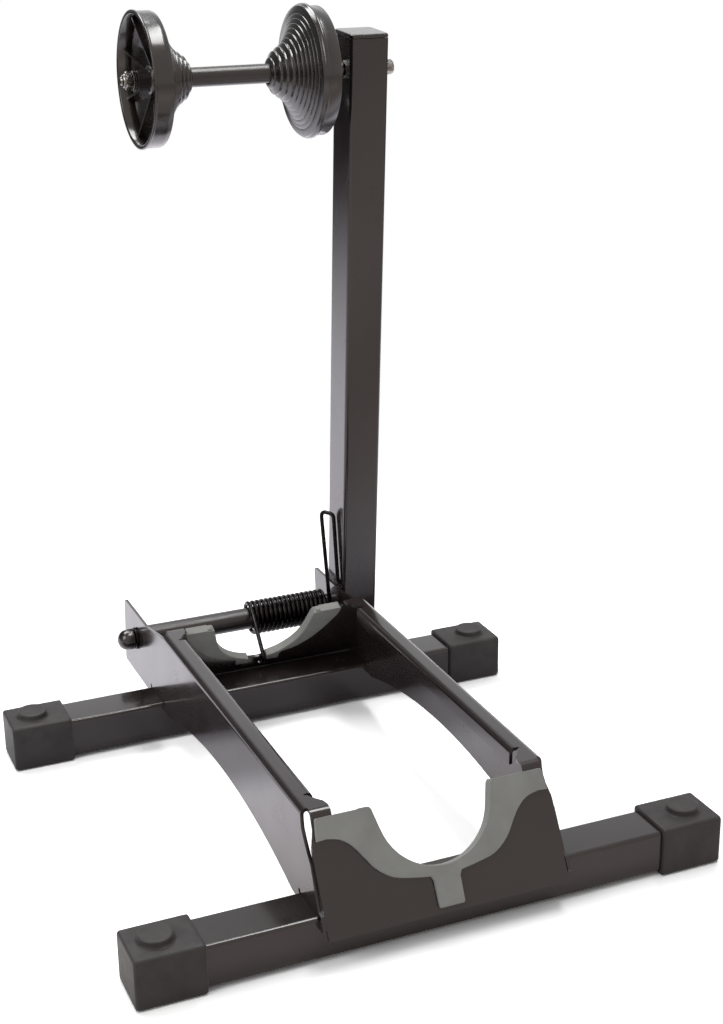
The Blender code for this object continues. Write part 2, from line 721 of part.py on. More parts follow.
def arm_plug(name, z_end, way):
    """Moulded plug: a plate over the tube's end and a stem inside it."""
    plate = []
    for rise, inset in ((0.0, 0.0), (PLUG - 0.9, 0.0), (PLUG - 0.3, 0.3), (PLUG, 0.9)):
        pts = rounded_rect(ARM_W - 2 * inset, ARM_D - 2 * inset, ARM_CORNER)
        plate.append([(a, b, z_end + way * (GAP + rise)) for a, b in pts])
    w, d = ARM_W - 2 * ARM_WALL - 2 * GAP, ARM_D - 2 * ARM_WALL - 2 * GAP
    stem = [[(a, b, z_end + way * GAP) for a, b in rounded_rect(w, d, 0.9)],
            [(a, b, z_end - way * 11.0) for a, b in rounded_rect(w, d, 0.9)],
            [(a, b, z_end - way * 11.0) for a, b in rounded_rect(w - 3.2, d - 3.2, 0.8)],
            [(a, b, z_end - way * 0.6) for a, b in rounded_rect(w - 3.2, d - 3.2, 0.8)]]
    verts, faces = loft(stem[::-1] + plate)
    return lean(mesh_object(name, verts, faces, BLACK_PLASTIC, (ARM_MID, AXLE_Y, AXLE_Z), 30))


arm = arm_tube()
arm_plug("arm_top_plug", ARM_UP, 1)
arm_plug("arm_foot_plug", -ARM_DOWN, -1)

# Pivot: bolt through both ears, spacer tube between them, washers and a domed nut
BUSH_R = 6.6
pivot_spot = (0, AXLE_Y, AXLE_Z)
EAR_OUT = web_x(AXLE_Z)
EAR_IN = EAR_OUT - SHEET
HEAD_START = ARM_RIGHT + 2 * GAP + WASHER

cut(arm, cylinder_cutter("pivot_hole", ARM_LEFT - 5, ARM_RIGHT + 5, BUSH_R + GAP, pivot_spot))
revolve("arm_pivot_bush", ring_profile(ARM_LEFT, ARM_RIGHT, BOLT_R + 0.08, BUSH_R), BRONZE, pivot_spot, 24)
revolve("pivot_spacer_tube", ring_profile(-EAR_IN + EAR_GAP, EAR_IN - EAR_GAP, SPACER_BORE, SPACER_R),
        BLACK_PAINT, pivot_spot, 36)
revolve("pivot_washer_inner", ring_profile(EAR_OUT + EAR_GAP, EAR_OUT + EAR_GAP + WASHER, BOLT_R + GAP, 9.0),
        ZINC, pivot_spot, 24)
revolve("pivot_washer_outer", ring_profile(ARM_RIGHT + GAP, ARM_RIGHT + GAP + WASHER, BOLT_R + GAP, 9.0),
        BLACK_STEEL, pivot_spot, 24)
revolve("pivot_washer_left", ring_profile(-EAR_OUT - EAR_GAP - WASHER, -EAR_OUT - EAR_GAP, BOLT_R + GAP, 8.0),
        BLACK_STEEL, pivot_spot, 24)

NUT_FACE = -EAR_OUT - EAR_GAP - WASHER - GAP
dome = [(NUT_FACE, BOLT_R + GAP), (NUT_FACE, 6.9), (NUT_FACE - 0.6, 7.4), (NUT_FACE - 7.0, 7.5)]
dome += [(NUT_FACE - 7.0 - 6.6 * math.sin(a), 7.5 * math.cos(a)) for a in (0.35, 0.75, 1.15)]
dome += [(NUT_FACE - 13.6, 0.0), (NUT_FACE - 10.8, 0.0), (NUT_FACE - 10.0, BOLT_R + GAP)]
revolve("pivot_cap_nut", dome, BLACK_PLASTIC, pivot_spot, 28, 40)


def hex_bolt(name, head_x, head_h, flats, tip_x, radius, origin, look):
    """Bolt along X with its head on the right: hexagon, shank and chamfered tip in one mesh."""
    count = 24
    corner = flats / math.sqrt(3)

    def ring(x, r_of):
        return [(x, r_of(a) * math.cos(a), r_of(a) * math.sin(a))
                for a in (2 * math.pi * k / count for k in range(count))]

    def hexa(a):
        fold = (a + math.pi / 6) % (math.pi / 3) - math.pi / 6
        return min(flats / 2 / math.cos(fold), corner)

    small = flats / 2 * 0.93
    rings = [ring(head_x + head_h, lambda a: small), ring(head_x + head_h - 0.8, hexa), ring(head_x, hexa),
             ring(head_x, lambda a: radius), ring(tip_x + 1.0, lambda a: radius),
             ring(tip_x, lambda a: radius - 0.9)]
    verts, faces = loft(rings)
    return mesh_object(name, verts, faces, look, origin, 25)


hex_bolt("pivot_bolt", HEAD_START, 2.6, 13.0, NUT_FACE - 9.0, BOLT_R, pivot_spot, BLACK_STEEL)

# Stop pin behind the arm's foot
PIN_R = 5.0
STEM_R = 4.0
pin_y, pin_z = on_arm(ARM_D / 2 + GAP + PIN_R, -PIN_DOWN)
EAR_AT_PIN = web_x(pin_z)
pin_spot = (0, pin_y, pin_z)
cut(tray, cylinder_cutter("pin_hole", EAR_AT_PIN - 12, EAR_AT_PIN + 6, STEM_R + GAP, pin_spot))
pin_in = EAR_AT_PIN - SHEET - GAP - 0.2
pin_out = EAR_AT_PIN + GAP + 0.2
revolve("arm_stop_pin", [(pin_in - 2.0, 0), (pin_in - 2.0, 5.0), (pin_in - 0.8, 6.4), (pin_in, 6.4), (pin_in, STEM_R),
                         (pin_out, STEM_R), (pin_out, PIN_R), (ARM_LEFT + 17.4, PIN_R), (ARM_LEFT + 18.0, PIN_R - 0.6),
                         (ARM_LEFT + 18.0, 0)], BLACK_STEEL, pin_spot, 20)

# Spool: two terraced cones pressed on a core tube that turns on a bolt through the arm
spool_y, spool_z = on_arm(0.0, SPOOL_UP)
spool_spot = (0, spool_y, spool_z)
cut(arm, cylinder_cutter("spool_bolt_hole", ARM_LEFT - 5, ARM_RIGHT + 5, SPOOL_BOLT_R + GAP, spool_spot))

CONE_WALL = 2.0
HUB_R = 9.4
HUB_BORE = CORE_R + GAP
RIB = 1.6
RIBS = 8
CONE_SEGMENTS = 40


def steps_between(a, b, count, land):
    """Terraces from point a to point b in (x, r): each rises, then runs on."""
    out = [a]
    for k in range(count):
        x0 = a[0] + (b[0] - a[0]) * k / count
        x1 = a[0] + (b[0] - a[0]) * (k + 1) / count
        r1 = a[1] + (b[1] - a[1]) * (k + 1) / count
        out.append((x0 + (x1 - x0) * (1 - land), r1))
        out.append((x1, r1))
    return out


def ribs(name, points, spot):
    """Flat ribs between hub and shell; points is the rib outline in (x, r)."""
    verts, faces = [], []
    n = len(points)
    for k in range(RIBS):
        a = 2 * math.pi * (k + 0.5) / RIBS
        across = Vector((0.0, -math.sin(a), math.cos(a))) * (RIB / 2)
        out = Vector((0.0, math.cos(a), math.sin(a)))
        first = len(verts)
        for sign in (-1, 1):
            for x, r in points:
                verts.append(tuple(Vector((x, 0, 0)) + out * r + across * sign))
        faces.append(tuple(range(first, first + n)))
        faces.append(tuple(range(first + 2 * n - 1, first + n - 1, -1)))
        for i in range(n):
            m = (i + 1) % n
            faces.append((first + i, first + m, first + n + m, first + n + i))
    return mesh_object(name, verts, faces, None, spot)


# Both cones are drawn from the planes of their open mouths
LEFT_MOUTH = CORE_LEFT - 0.5
left_spine = [(LEFT_MOUTH + 36.5, 7.6), (LEFT_MOUTH + 24.5, 18.6), (LEFT_MOUTH + 20.5, 29.5),
              (LEFT_MOUTH + 17.2, CONE_R - 2.4)]
left_shell = [(LEFT_MOUTH + 16.4, CONE_R - 1.1), (LEFT_MOUTH + 2.0, CONE_R - 1.1), (LEFT_MOUTH + 1.5, CONE_R),
              (LEFT_MOUTH + 0.3, CONE_R), (LEFT_MOUTH, CONE_R - 0.3)]

RIGHT_MOUTH = CORE_RIGHT - 9.5
right_spine = [(RIGHT_MOUTH - 35.6, 8.6), (RIGHT_MOUTH - 27.2, 21.0), (RIGHT_MOUTH - 18.4, CONE_R - 2.0)]
right_steps = steps_between(right_spine[0], right_spine[1], 4, 0.5)
right_steps += steps_between(right_spine[1], right_spine[2], 7, 0.5)[1:]
right_shell = [(RIGHT_MOUTH - 13.5, CONE_R), (RIGHT_MOUTH - 9.0, CONE_R), (RIGHT_MOUTH - 8.5, CONE_R - 1.8),
               (RIGHT_MOUTH - 0.4, CONE_R - 1.8), (RIGHT_MOUTH, CONE_R - 2.2)]


def build_cone(name, spine, skin, shell, mouth, hub_end, way):
    """Cone shell with hub and ribs. spine is the plain cone under the terraces, nose first;
    way is the direction in which the open mouth faces."""
    mouth_r = min(r for x, r in shell) - CONE_WALL
    shift = way * CONE_WALL * 1.45
    (nose_x, nose_r), (next_x, next_r) = spine[0], spine[1]
    t = (HUB_R + 1.0 - nose_r) / (next_r - nose_r)
    root = (nose_x + (next_x - nose_x) * t + shift, HUB_R + 1.0)
    inside = [(x + shift, min(r - 0.6, mouth_r)) for x, r in spine[:0:-1]]
    profile = skin + shell + [(mouth, mouth_r)] + inside + [root, (root[0], HUB_R)]
    profile += [(hub_end - way * 0.4, HUB_R), (hub_end, HUB_R - 0.4), (hub_end, HUB_BORE), (nose_x, HUB_BORE)]
    body = revolve(name, profile, BLACK_PLASTIC, spool_spot, CONE_SEGMENTS, 25)
    bite = 0.7
    outline = [(root[0] - way * bite, HUB_R - bite), (hub_end - way * 3.0, HUB_R - bite),
               (mouth - way * 4.0, mouth_r + bite)]
    outline += [(x - way * bite * 0.6, r + bite * 0.6) for x, r in inside + [root]]
    join(body, ribs(name + "_ribs", outline, spool_spot))
    return body


build_cone("spool_cone_left", left_spine, left_spine, left_shell, LEFT_MOUTH, CORE_LEFT + 8.0, -1)
build_cone("spool_cone_right", right_spine, right_steps, right_shell, RIGHT_MOUTH, CORE_RIGHT - 8.0, 1)

revolve("spool_core_tube", ring_profile(CORE_LEFT, CORE_RIGHT, CORE_BORE, CORE_R), BLACK_PAINT, spool_spot, 28)


def flanged_bush(name, end_x, way):
    """Plain bearing in the end of the core tube with a flange outside it."""
    face = end_x + way * GAP
    outer = face + way * BUSH_FLANGE
    profile = [(end_x - way * 14.0, SPOOL_BOLT_R + 0.08), (end_x - way * 14.0, CORE_BORE - GAP),
               (face, CORE_BORE - GAP), (face, 6.6), (outer, 6.6), (outer, SPOOL_BOLT_R + 0.08)]
    return revolve(name, profile, BLACK_PLASTIC, spool_spot, 24)


flanged_bush("spool_bush_left", CORE_LEFT, -1)
flanged_bush("spool_bush_right", CORE_RIGHT, 1)

HEX_FLATS = 10.0
LEFT_STACK = CORE_LEFT - 2 * GAP - BUSH_FLANGE
LEFT_NUT = LEFT_STACK - WASHER - GAP
RIGHT_STACK = CORE_RIGHT + 2 * GAP + BUSH_FLANGE
revolve("spool_washer_left", ring_profile(LEFT_STACK - WASHER, LEFT_STACK, SPOOL_BOLT_R + GAP, 6.4), ZINC,
        spool_spot, 24)
hexagon("spool_lock_nut", LEFT_NUT - LOCK_NUT, LEFT_NUT, HEX_FLATS, ZINC, spool_spot, SPOOL_BOLT_R + GAP)
hexagon("spool_jam_nut", RIGHT_STACK, ARM_LEFT - GAP, HEX_FLATS, ZINC, spool_spot, SPOOL_BOLT_R + GAP)
revolve("spool_bolt_washer", ring_profile(ARM_RIGHT + GAP, ARM_RIGHT + GAP + WASHER, SPOOL_BOLT_R + GAP, 6.4), ZINC,
        spool_spot, 24)
hex_bolt("spool_bolt", HEAD_START, 3.2, HEX_FLATS, LEFT_NUT - LOCK_NUT - 1.6, SPOOL_BOLT_R, spool_spot, ZINC)


# Torsion spring: coil on the spacer tube, lower end hooked in the rear plate, upper end in the arm
def rounded_path(points, radius, steps=5):
    """Polyline with its corners turned into arcs; the first and last points stay."""
    out = [Vector(points[0])]
    for i in range(1, len(points) - 1):
        p, a, b = Vector(points[i]), Vector(points[i - 1]), Vector(points[i + 1])
        u, v = (a - p), (b - p)
        turn = math.pi - u.angle(v)
        cutoff = min(radius * math.tan(turn / 2), u.length * 0.48, v.length * 0.48)
        start, end = p + u.normalized() * cutoff, p + v.normalized() * cutoff
        for k in range(steps + 1):
            t = k / steps
            out.append(start.lerp(p, t).lerp(p.lerp(end, t), t))
    out.append(Vector(points[-1]))
    return out


HOOK_X = 4.6
LEAVE_HIGH = math.radians(168.5)
HAIRPIN_X = ARM_LEFT - WIRE_R - 0.5


def spring_path():
    # Lower leg, from the rear plate's hole over the rim to the coil
    rim_q = NOTCH_LOW - LINER_LIP - GAP
    rim = Vector(along_plate(HOOK_X, rim_q))
    front_face = SHEET / math.cos(LEAN_ANGLE)
    crest = Vector((HOOK_X, mirror_y(rim.y) - front_face * 0.5 - 0.6, rim.z + WIRE_R + 1.5))
    down = Vector((HOOK_X, mirror_y(rim.y) - front_face - 3.2, rim.z - 1.2))
    low_z = rim.z - 6.4
    plate_rear = mirror_y(plate_y(low_z))
    low = Vector((HOOK_X, plate_rear - front_face - 3.4, low_z))
    tip = Vector((HOOK_X, plate_rear + 2.6, low_z))
    # The leg leaves the coil where it just touches it
    dy, dz = crest.y - AXLE_Y, crest.z - AXLE_Z
    leave_low = math.atan2(dz, dy) - math.acos(COIL_R / math.hypot(dy, dz)) + 2 * math.pi
    coil_right = EAR_IN - COIL_END
    part_turn = (leave_low - LEAVE_HIGH + 2 * math.pi) / (2 * math.pi)
    turns = round((coil_right - COIL_LEFT) / COIL_PITCH - part_turn) + part_turn
    total = int(turns * POINTS_PER_TURN)
    coil = []
    for k in range(total + 1):
        t = k / total
        a = leave_low - turns * 2 * math.pi * t
        coil.append(Vector((COIL_LEFT + (coil_right - COIL_LEFT) * t,
                            AXLE_Y + COIL_R * math.cos(a), AXLE_Z + COIL_R * math.sin(a))))
    lower = rounded_path([tip, low, down, crest, coil[0]], 2.6, 4)
    # Upper leg: up beside the arm, a hairpin, and back down into the hole in the arm
    rise = Vector((0.0, math.sin(LEAVE_HIGH), -math.cos(LEAVE_HIGH)))
    top_left = coil[-1] + rise * HAIRPIN_UP
    y_top, z_top = on_arm(0.5, HAIRPIN_UP)
    y_low, z_low = on_arm(-HOOK_FRONT, HOOK_UP)
    upper = rounded_path([coil[-1], top_left, (HAIRPIN_X, y_top, z_top), (HAIRPIN_X, y_low, z_low),
                          (ARM_LEFT + 6.0, y_low, z_low)], 3.9, 6)
    return lower[:-1] + coil + upper[1:], (HAIRPIN_X, y_low, z_low), low


def sweep_tube(name, path, radius, sides, look):
    """Round wire along a path, closed at both ends."""
    tangents = []
    for i in range(len(path)):
        a, b = path[max(i - 1, 0)], path[min(i + 1, len(path) - 1)]
        tangents.append((b - a).normalized())
    up = tangents[0].orthogonal().normalized()
    rings = []
    for i, p in enumerate(path):
        if i:
            up = tangents[i - 1].rotation_difference(tangents[i]) @ up
        up = (up - tangents[i] * up.dot(tangents[i])).normalized()
        side = tangents[i].cross(up)
        rings.append([tuple(p + (up * math.cos(2 * math.pi * k / sides)
                                 + side * math.sin(2 * math.pi * k / sides)) * radius) for k in range(sides)])
    verts, faces = loft(rings)
    return mesh_object(name, verts, faces, look, (0, 0, 0), 60)


def least_gap(path, radius):
    """Smallest free distance between parts of the wire that aren't neighbours along it."""
    best = 1e9
    for i in range(len(path)):
        walked = 0.0
        for j in range(i + 1, len(path)):
            walked += (path[j] - path[j - 1]).length
            if walked > 8 * radius:
                best = min(best, (path[i] - path[j]).length)
    return best - 2 * radius


wire, arm_hook, plate_hook = spring_path()
sweep_tube("torsion_spring", wire, WIRE_R, 6, BLACK_STEEL)
print("spring: least gap to itself", round(least_gap(wire, WIRE_R), 2), "mm, points", len(wire))

hook_spot = (0, arm_hook[1], arm_hook[2])
cut(arm, cylinder_cutter("hook_hole", ARM_LEFT - 4, ARM_LEFT + ARM_WALL + 3, WIRE_R + 0.6, hook_spot, 20))
plate_hole = cylinder_cutter("plate_hole", -9.0, 9.0, WIRE_R + 0.6, (HOOK_X, plate_hook.y, plate_hook.z), 20)
plate_hole.rotation_euler = (0, 0, math.pi / 2)
cut(tray, plate_hole)

print("origin is", round(MID_Y, 3), "mm behind the front crossbar's centre")
print("pivot", [round(c, 5) for c in place(*pivot_spot)], "spool", [round(c, 5) for c in place(*spool_spot)])
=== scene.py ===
# %% [markdown]
# # Dressing a bicycle parking stand
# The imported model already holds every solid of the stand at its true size, sorted into three
# bodies: the base, the arm and the spool. This lesson gives those solids their real surfaces. It
# keeps each piece where the model has it, because the joints turn about fixed axes.
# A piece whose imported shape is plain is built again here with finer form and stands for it.

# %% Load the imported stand
import json
import math

import bmesh
import bpy
from mathutils import Matrix, Vector


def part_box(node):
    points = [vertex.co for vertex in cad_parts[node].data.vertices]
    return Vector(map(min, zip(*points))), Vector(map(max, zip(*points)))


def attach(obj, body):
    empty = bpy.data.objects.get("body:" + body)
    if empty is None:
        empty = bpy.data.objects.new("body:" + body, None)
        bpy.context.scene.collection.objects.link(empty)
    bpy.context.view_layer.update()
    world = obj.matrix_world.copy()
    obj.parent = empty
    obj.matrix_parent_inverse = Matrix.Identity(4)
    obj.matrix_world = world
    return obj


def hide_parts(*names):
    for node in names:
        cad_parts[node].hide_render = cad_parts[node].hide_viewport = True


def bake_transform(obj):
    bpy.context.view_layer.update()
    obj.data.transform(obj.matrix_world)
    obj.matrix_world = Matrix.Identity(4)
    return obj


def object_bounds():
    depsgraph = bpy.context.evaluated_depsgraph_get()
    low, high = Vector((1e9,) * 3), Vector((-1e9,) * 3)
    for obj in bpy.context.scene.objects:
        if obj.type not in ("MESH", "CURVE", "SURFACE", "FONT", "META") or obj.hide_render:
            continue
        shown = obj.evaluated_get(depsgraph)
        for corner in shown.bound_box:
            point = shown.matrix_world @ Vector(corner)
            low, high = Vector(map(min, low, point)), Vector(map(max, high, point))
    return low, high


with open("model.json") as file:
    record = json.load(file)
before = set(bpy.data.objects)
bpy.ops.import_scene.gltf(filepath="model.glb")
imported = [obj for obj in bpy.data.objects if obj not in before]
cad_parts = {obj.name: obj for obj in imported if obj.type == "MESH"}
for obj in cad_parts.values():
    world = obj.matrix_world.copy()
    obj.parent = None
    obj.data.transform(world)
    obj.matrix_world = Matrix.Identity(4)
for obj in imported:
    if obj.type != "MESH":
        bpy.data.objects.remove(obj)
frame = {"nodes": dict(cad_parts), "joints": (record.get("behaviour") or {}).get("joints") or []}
cad_low, cad_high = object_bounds()

# %% [markdown]
# ## Working in millimetres
# A maker thinks in millimetres from a handy corner of the job. Here X runs along the crossbars,
# Y runs back from the middle of the front crossbar and Z is the height above the floor. One
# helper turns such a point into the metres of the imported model.

# %% The stand's own axes
MM = 0.001
front_bar_low, front_bar_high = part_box("front_crossbar")
rear_bar_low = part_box("rear_crossbar")[0]
BAR_Y = (front_bar_low.y + front_bar_high.y) / 2
BAR_SPACING = (rear_bar_low.y - front_bar_low.y) / MM
BAR_TOP = front_bar_high.z / MM
BAR_DEEP = (front_bar_high.y - front_bar_low.y) / MM
BAR_TALL = (front_bar_high.z - front_bar_low.z) / MM


def stand(x, y, z):
    """A point in millimetres, measured from under the front crossbar, in metres."""
    return Vector((x * MM, BAR_Y + y * MM, z * MM))


def in_mm(point):
    """The same turned round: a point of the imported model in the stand's millimetres."""
    return Vector((point[0] / MM, (point[1] - BAR_Y) / MM, point[2] / MM))


joints = {joint["name"]: joint for joint in frame["joints"]}
PIVOT = in_mm(joints["arm_pivot"]["pos_m"])
SPOOL = in_mm(joints["spool_spin"]["pos_m"])
print("crossbars", round(BAR_SPACING, 1), "mm apart; pivot at", [round(c, 1) for c in PIVOT])

# %% [markdown]
# ## The camera
# The picture looks at the stand from the front left and a little above. The numbers come from
# the vanishing lines of the crossbars and of the cradle's rails. Blender's camera looks along
# its own -Z, so its three axes are written as the columns of a rotation.

# %% Camera at the photograph's angle
LONG_SIDE_PX = 1024
SENSOR = 36.0
FOCAL_PX = 1709.3
CAMERA_AT = (-369.36, -768.31, 561.42)
YAW, PITCH, ROLL = 0.401297, 0.349690, -0.011754
look = Vector((math.sin(YAW) * math.cos(PITCH), math.cos(YAW) * math.cos(PITCH), -math.sin(PITCH)))
level = Vector((math.cos(YAW), -math.sin(YAW), 0.0))
rise = level.cross(look)
right = math.cos(ROLL) * level + math.sin(ROLL) * rise
up = -math.sin(ROLL) * level + math.cos(ROLL) * rise

camera_data = bpy.data.cameras.new("camera")
camera_data.sensor_width = SENSOR
camera_data.lens = FOCAL_PX * SENSOR / LONG_SIDE_PX
camera = bpy.data.objects.new("camera", camera_data)
bpy.context.scene.collection.objects.link(camera)
turn = Matrix((right, up, -look)).transposed().to_4x4()
camera.matrix_world = Matrix.Translation(stand(*CAMERA_AT)) @ turn
bpy.context.scene.camera = camera
bpy.context.scene.view_settings.view_transform = "Standard"
print("lens", round(camera_data.lens, 1), "mm")

# %% [markdown]
# ## Building materials from nodes
# Each material is a small tree of nodes. Colours are written as sRGB hex, the way a colour
# picker shows them, and one function turns them into the linear values that light needs. A
# second function adds a node: settings first, then the values of its sockets, then its links.
# The others build what every material here shares: cloudy patches and a fine grain of real size.

# %% Colours and nodes
MATERIALS = {}


def linear(hex_colour):
    """sRGB hex such as #7b7d77 as linear RGBA."""
    parts = [int(hex_colour[i:i + 2], 16) / 255 for i in (1, 3, 5)]
    return [p / 12.92 if p <= 0.04045 else ((p + 0.055) / 1.055) ** 2.4 for p in parts] + [1.0]


def add_node(tree, kind, settings=None, values=None, links=None):
    """Add one node; values and links are keyed by socket name or number."""
    node = tree.nodes.new(kind)
    for name, value in (settings or {}).items():
        setattr(node, name, value)
    for key, value in (values or {}).items():
        node.inputs[key].default_value = value
    for key, source in (links or {}).items():
        tree.links.new(source, node.inputs[key])
    return node


def per_mm(size):
    """Noise scale that gives features of about this many millimetres."""
    return 1.0 / (size * MM)


def new_material(name, sockets):
    """A Principled material with these socket values: its tree, shader and object coordinates."""
    material = bpy.data.materials.new(name)
    material.use_nodes = True
    MATERIALS[name] = material
    tree = material.node_tree
    shader = tree.nodes["Principled BSDF"]
    for socket, value in sockets.items():
        shader.inputs[socket].default_value = value
    place = add_node(tree, "ShaderNodeTexCoord").outputs["Object"]
    return tree, shader, place


# %% Patterns of a real size
def mottle(tree, place, size, low, high, detail=2.0):
    """Noise of a real size in millimetres, spread over the range low to high."""
    noise = add_node(tree, "ShaderNodeTexNoise", values={"Scale": per_mm(size), "Detail": detail},
                     links={"Vector": place})
    return add_node(tree, "ShaderNodeMapRange", values={1: 0.3, 2: 0.7, 3: low, 4: high},
                    links={0: noise.outputs[0]}).outputs[0]


def grain(tree, place, size, strength, height, detail=1.0, under=None):
    """Bump of a real size and height in millimetres, on top of the bump under it if any."""
    noise = add_node(tree, "ShaderNodeTexNoise", values={"Scale": per_mm(size), "Detail": detail},
                     links={"Vector": place})
    links = {"Height": noise.outputs[0]}
    if under is not None:
        links["Normal"] = under
    return add_node(tree, "ShaderNodeBump", values={"Strength": strength, "Distance": height * MM},
                    links=links).outputs[0]


def two_tone(tree, factor, dark, light):
    """Mix of two colours by a factor."""
    return add_node(tree, "ShaderNodeMix", {"data_type": "RGBA"}, {6: linear(dark), 7: linear(light)},
                    {0: factor}).outputs[2]


# %% [markdown]
# ## Black powder coat on steel
# The tubes and the folded sheet carry a baked gloss powder coat. It melts into a skin with a
# faint orange peel, about 1 mm from crest to crest, on longer and softer waves, and it mirrors
# the room: at a flat angle it looks light grey beside a white floor. A clear coat over the black
# gives that second, sharper reflection. Handling leaves patches that are a little less sharp.
# The two round tubes, the pivot's spacer and the spool's core, look satin under the same black.

# %% Powder coat
def powder_coat(name, dark, light, gloss, clear):
    """Black paint; gloss and clear are the roughness of the paint and of its clear skin."""
    tree, shader, place = new_material(name, {"IOR": 1.46, "Coat Weight": 1.0, "Coat Roughness": clear,
                                              "Coat IOR": 1.46})
    cloud = mottle(tree, place, 70.0, 0.0, 1.0)
    tree.links.new(two_tone(tree, cloud, dark, light), shader.inputs["Base Color"])
    tree.links.new(mottle(tree, place, 24.0, gloss, gloss + 0.12, 4.0), shader.inputs["Roughness"])
    peel = grain(tree, place, 1.1, 0.012, 0.1)
    wave = grain(tree, place, 9.0, 0.03, 0.4, under=peel)
    tree.links.new(wave, shader.inputs["Normal"])
    tree.links.new(wave, shader.inputs["Coat Normal"])


powder_coat("gloss_black_powder_coat", "#201919", "#2a2323", 0.16, 0.13)
powder_coat("satin_black_powder_coat", "#201919", "#2a2323", 0.30, 0.26)
print("paints:", list(MATERIALS))

# %% [markdown]
# ## Moulded rubber
# The end caps are soft black EPDM from a spark-eroded mould: matt, with a fine even grain that
# scatters light and a dry bloom that makes them greyer than the paint. The liners are a
# firmer grey rubber of the same make. The grain is about 0.3 mm, drawn at 0.6 mm to show.

# %% Rubber
def moulded_rubber(name, dark, light, rough, sheen):
    """Matt rubber; sheen is the dry bloom that shows at flat angles."""
    tree, shader, place = new_material(name, {"Sheen Weight": sheen, "Sheen Roughness": 0.4})
    bloom = mottle(tree, place, 16.0, 0.0, 1.0, 5.0)
    tree.links.new(two_tone(tree, bloom, dark, light), shader.inputs["Base Color"])
    tree.links.new(mottle(tree, place, 5.0, rough - 0.06, rough + 0.06), shader.inputs["Roughness"])
    tree.links.new(grain(tree, place, 0.6, 0.25, 0.08, 2.0), shader.inputs["Normal"])


moulded_rubber("black_epdm_rubber", "#2b2828", "#383534", 0.58, 0.22)
moulded_rubber("grey_moulded_rubber", "#858581", "#92928e", 0.62, 0.25)
print("with rubbers:", len(MATERIALS), "materials")

# %% [markdown]
# ## Injection-moulded nylon
# The spool's cones, the plugs and the pivot's cap nut are black nylon. The mould was polished,
# so they shine, but the surface waves slightly where the plastic shrank over the ribs.

# %% Nylon
def moulded_nylon(name, dark, light, rough):
    """Shiny plastic with the faint waves of shrinking."""
    tree, shader, place = new_material(name, {"IOR": 1.53, "Coat Weight": 1.0, "Coat Roughness": 0.15,
                                              "Coat IOR": 1.53})
    cloud = mottle(tree, place, 30.0, 0.0, 1.0, 3.0)
    tree.links.new(two_tone(tree, cloud, dark, light), shader.inputs["Base Color"])
    tree.links.new(mottle(tree, place, 8.0, rough, rough + 0.10, 3.0), shader.inputs["Roughness"])
    tree.links.new(grain(tree, place, 3.0, 0.06, 0.3), shader.inputs["Normal"])


moulded_nylon("black_nylon", "#15100f", "#1f1917", 0.20)
print("with nylon:", len(MATERIALS), "materials")

# %% [markdown]
# ## Metals
# Small hardware is zinc-plated steel, bright with cloudy patches. The spring is drawn wire that
# was oil-blackened after coiling, so it is dark with thin places and a fine tooth. The bush is
# sintered bronze, matt and porous. All of them are fully metallic.

# %% Metal
def bare_metal(name, dark, light, rough, patch, tooth):
    """Bare or plated metal; patch and tooth are the sizes of its clouds and of its grain."""
    tree, shader, place = new_material(name, {"Metallic": 1.0})
    cloud = mottle(tree, place, patch, 0.0, 1.0, 4.0)
    tree.links.new(two_tone(tree, cloud, dark, light), shader.inputs["Base Color"])
    tree.links.new(mottle(tree, place, patch / 2, rough - 0.06, rough + 0.08, 3.0),
                   shader.inputs["Roughness"])
    tree.links.new(grain(tree, place, tooth, 0.10, 0.05, 2.0), shader.inputs["Normal"])


bare_metal("zinc_plated_steel", "#6b6966", "#b9b7b2", 0.24, 2.5, 0.5)
bare_metal("blackened_spring_steel", "#1d1b1b", "#353233", 0.26, 3.0, 0.4)
bare_metal("blackened_hardware_steel", "#262425", "#3a3738", 0.30, 4.0, 0.5)
bare_metal("sintered_bronze", "#7d6440", "#a3855a", 0.42, 1.5, 0.4)
print("materials:", sorted(MATERIALS))

# %% [markdown]
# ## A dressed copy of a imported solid
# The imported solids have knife-sharp edges. Real sheet and tube have a rolled or broken edge that
# catches a thin line of light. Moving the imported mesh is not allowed, so a copy is welded, its
# flat faces are joined again, and a bevel modifier rounds the edges by a real radius. The arm and
# its top plug are also cut a little shorter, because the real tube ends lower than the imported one.

# %% Copy, weld and bevel
WELD = 0.002
FLAT_WITHIN = math.radians(0.4)
BEVEL_ABOVE = math.radians(35)
BEVEL_STEPS = 3
ARM_LEAN = math.radians(4.2)
ARM_TRIM = 2.4
ARM_END_FROM = 430.0


def shade(piece, degrees):
    """Smooth faces, with edges above the angle kept sharp."""
    mesh = bmesh.new()
    mesh.from_mesh(piece.data)
    for face in mesh.faces:
        face.smooth = True
    limit = math.radians(degrees)
    for edge in mesh.edges:
        edge.smooth = len(edge.link_faces) == 2 and edge.calc_face_angle(0.0) < limit
    mesh.to_mesh(piece.data)
    mesh.free()


def round_edges(piece, radius):
    """Bevel modifier for the sharp edges, and normals that keep flat faces flat."""
    bevel = piece.modifiers.new("edge_radius", "BEVEL")
    bevel.width = radius * MM
    bevel.segments = BEVEL_STEPS
    bevel.limit_method = "ANGLE"
    bevel.angle_limit = BEVEL_ABOVE
    bevel.use_clamp_overlap = True
    bevel.harden_normals = False
    even = piece.modifiers.new("even_normals", "WEIGHTED_NORMAL")
    even.keep_sharp = True
    even.weight = 90


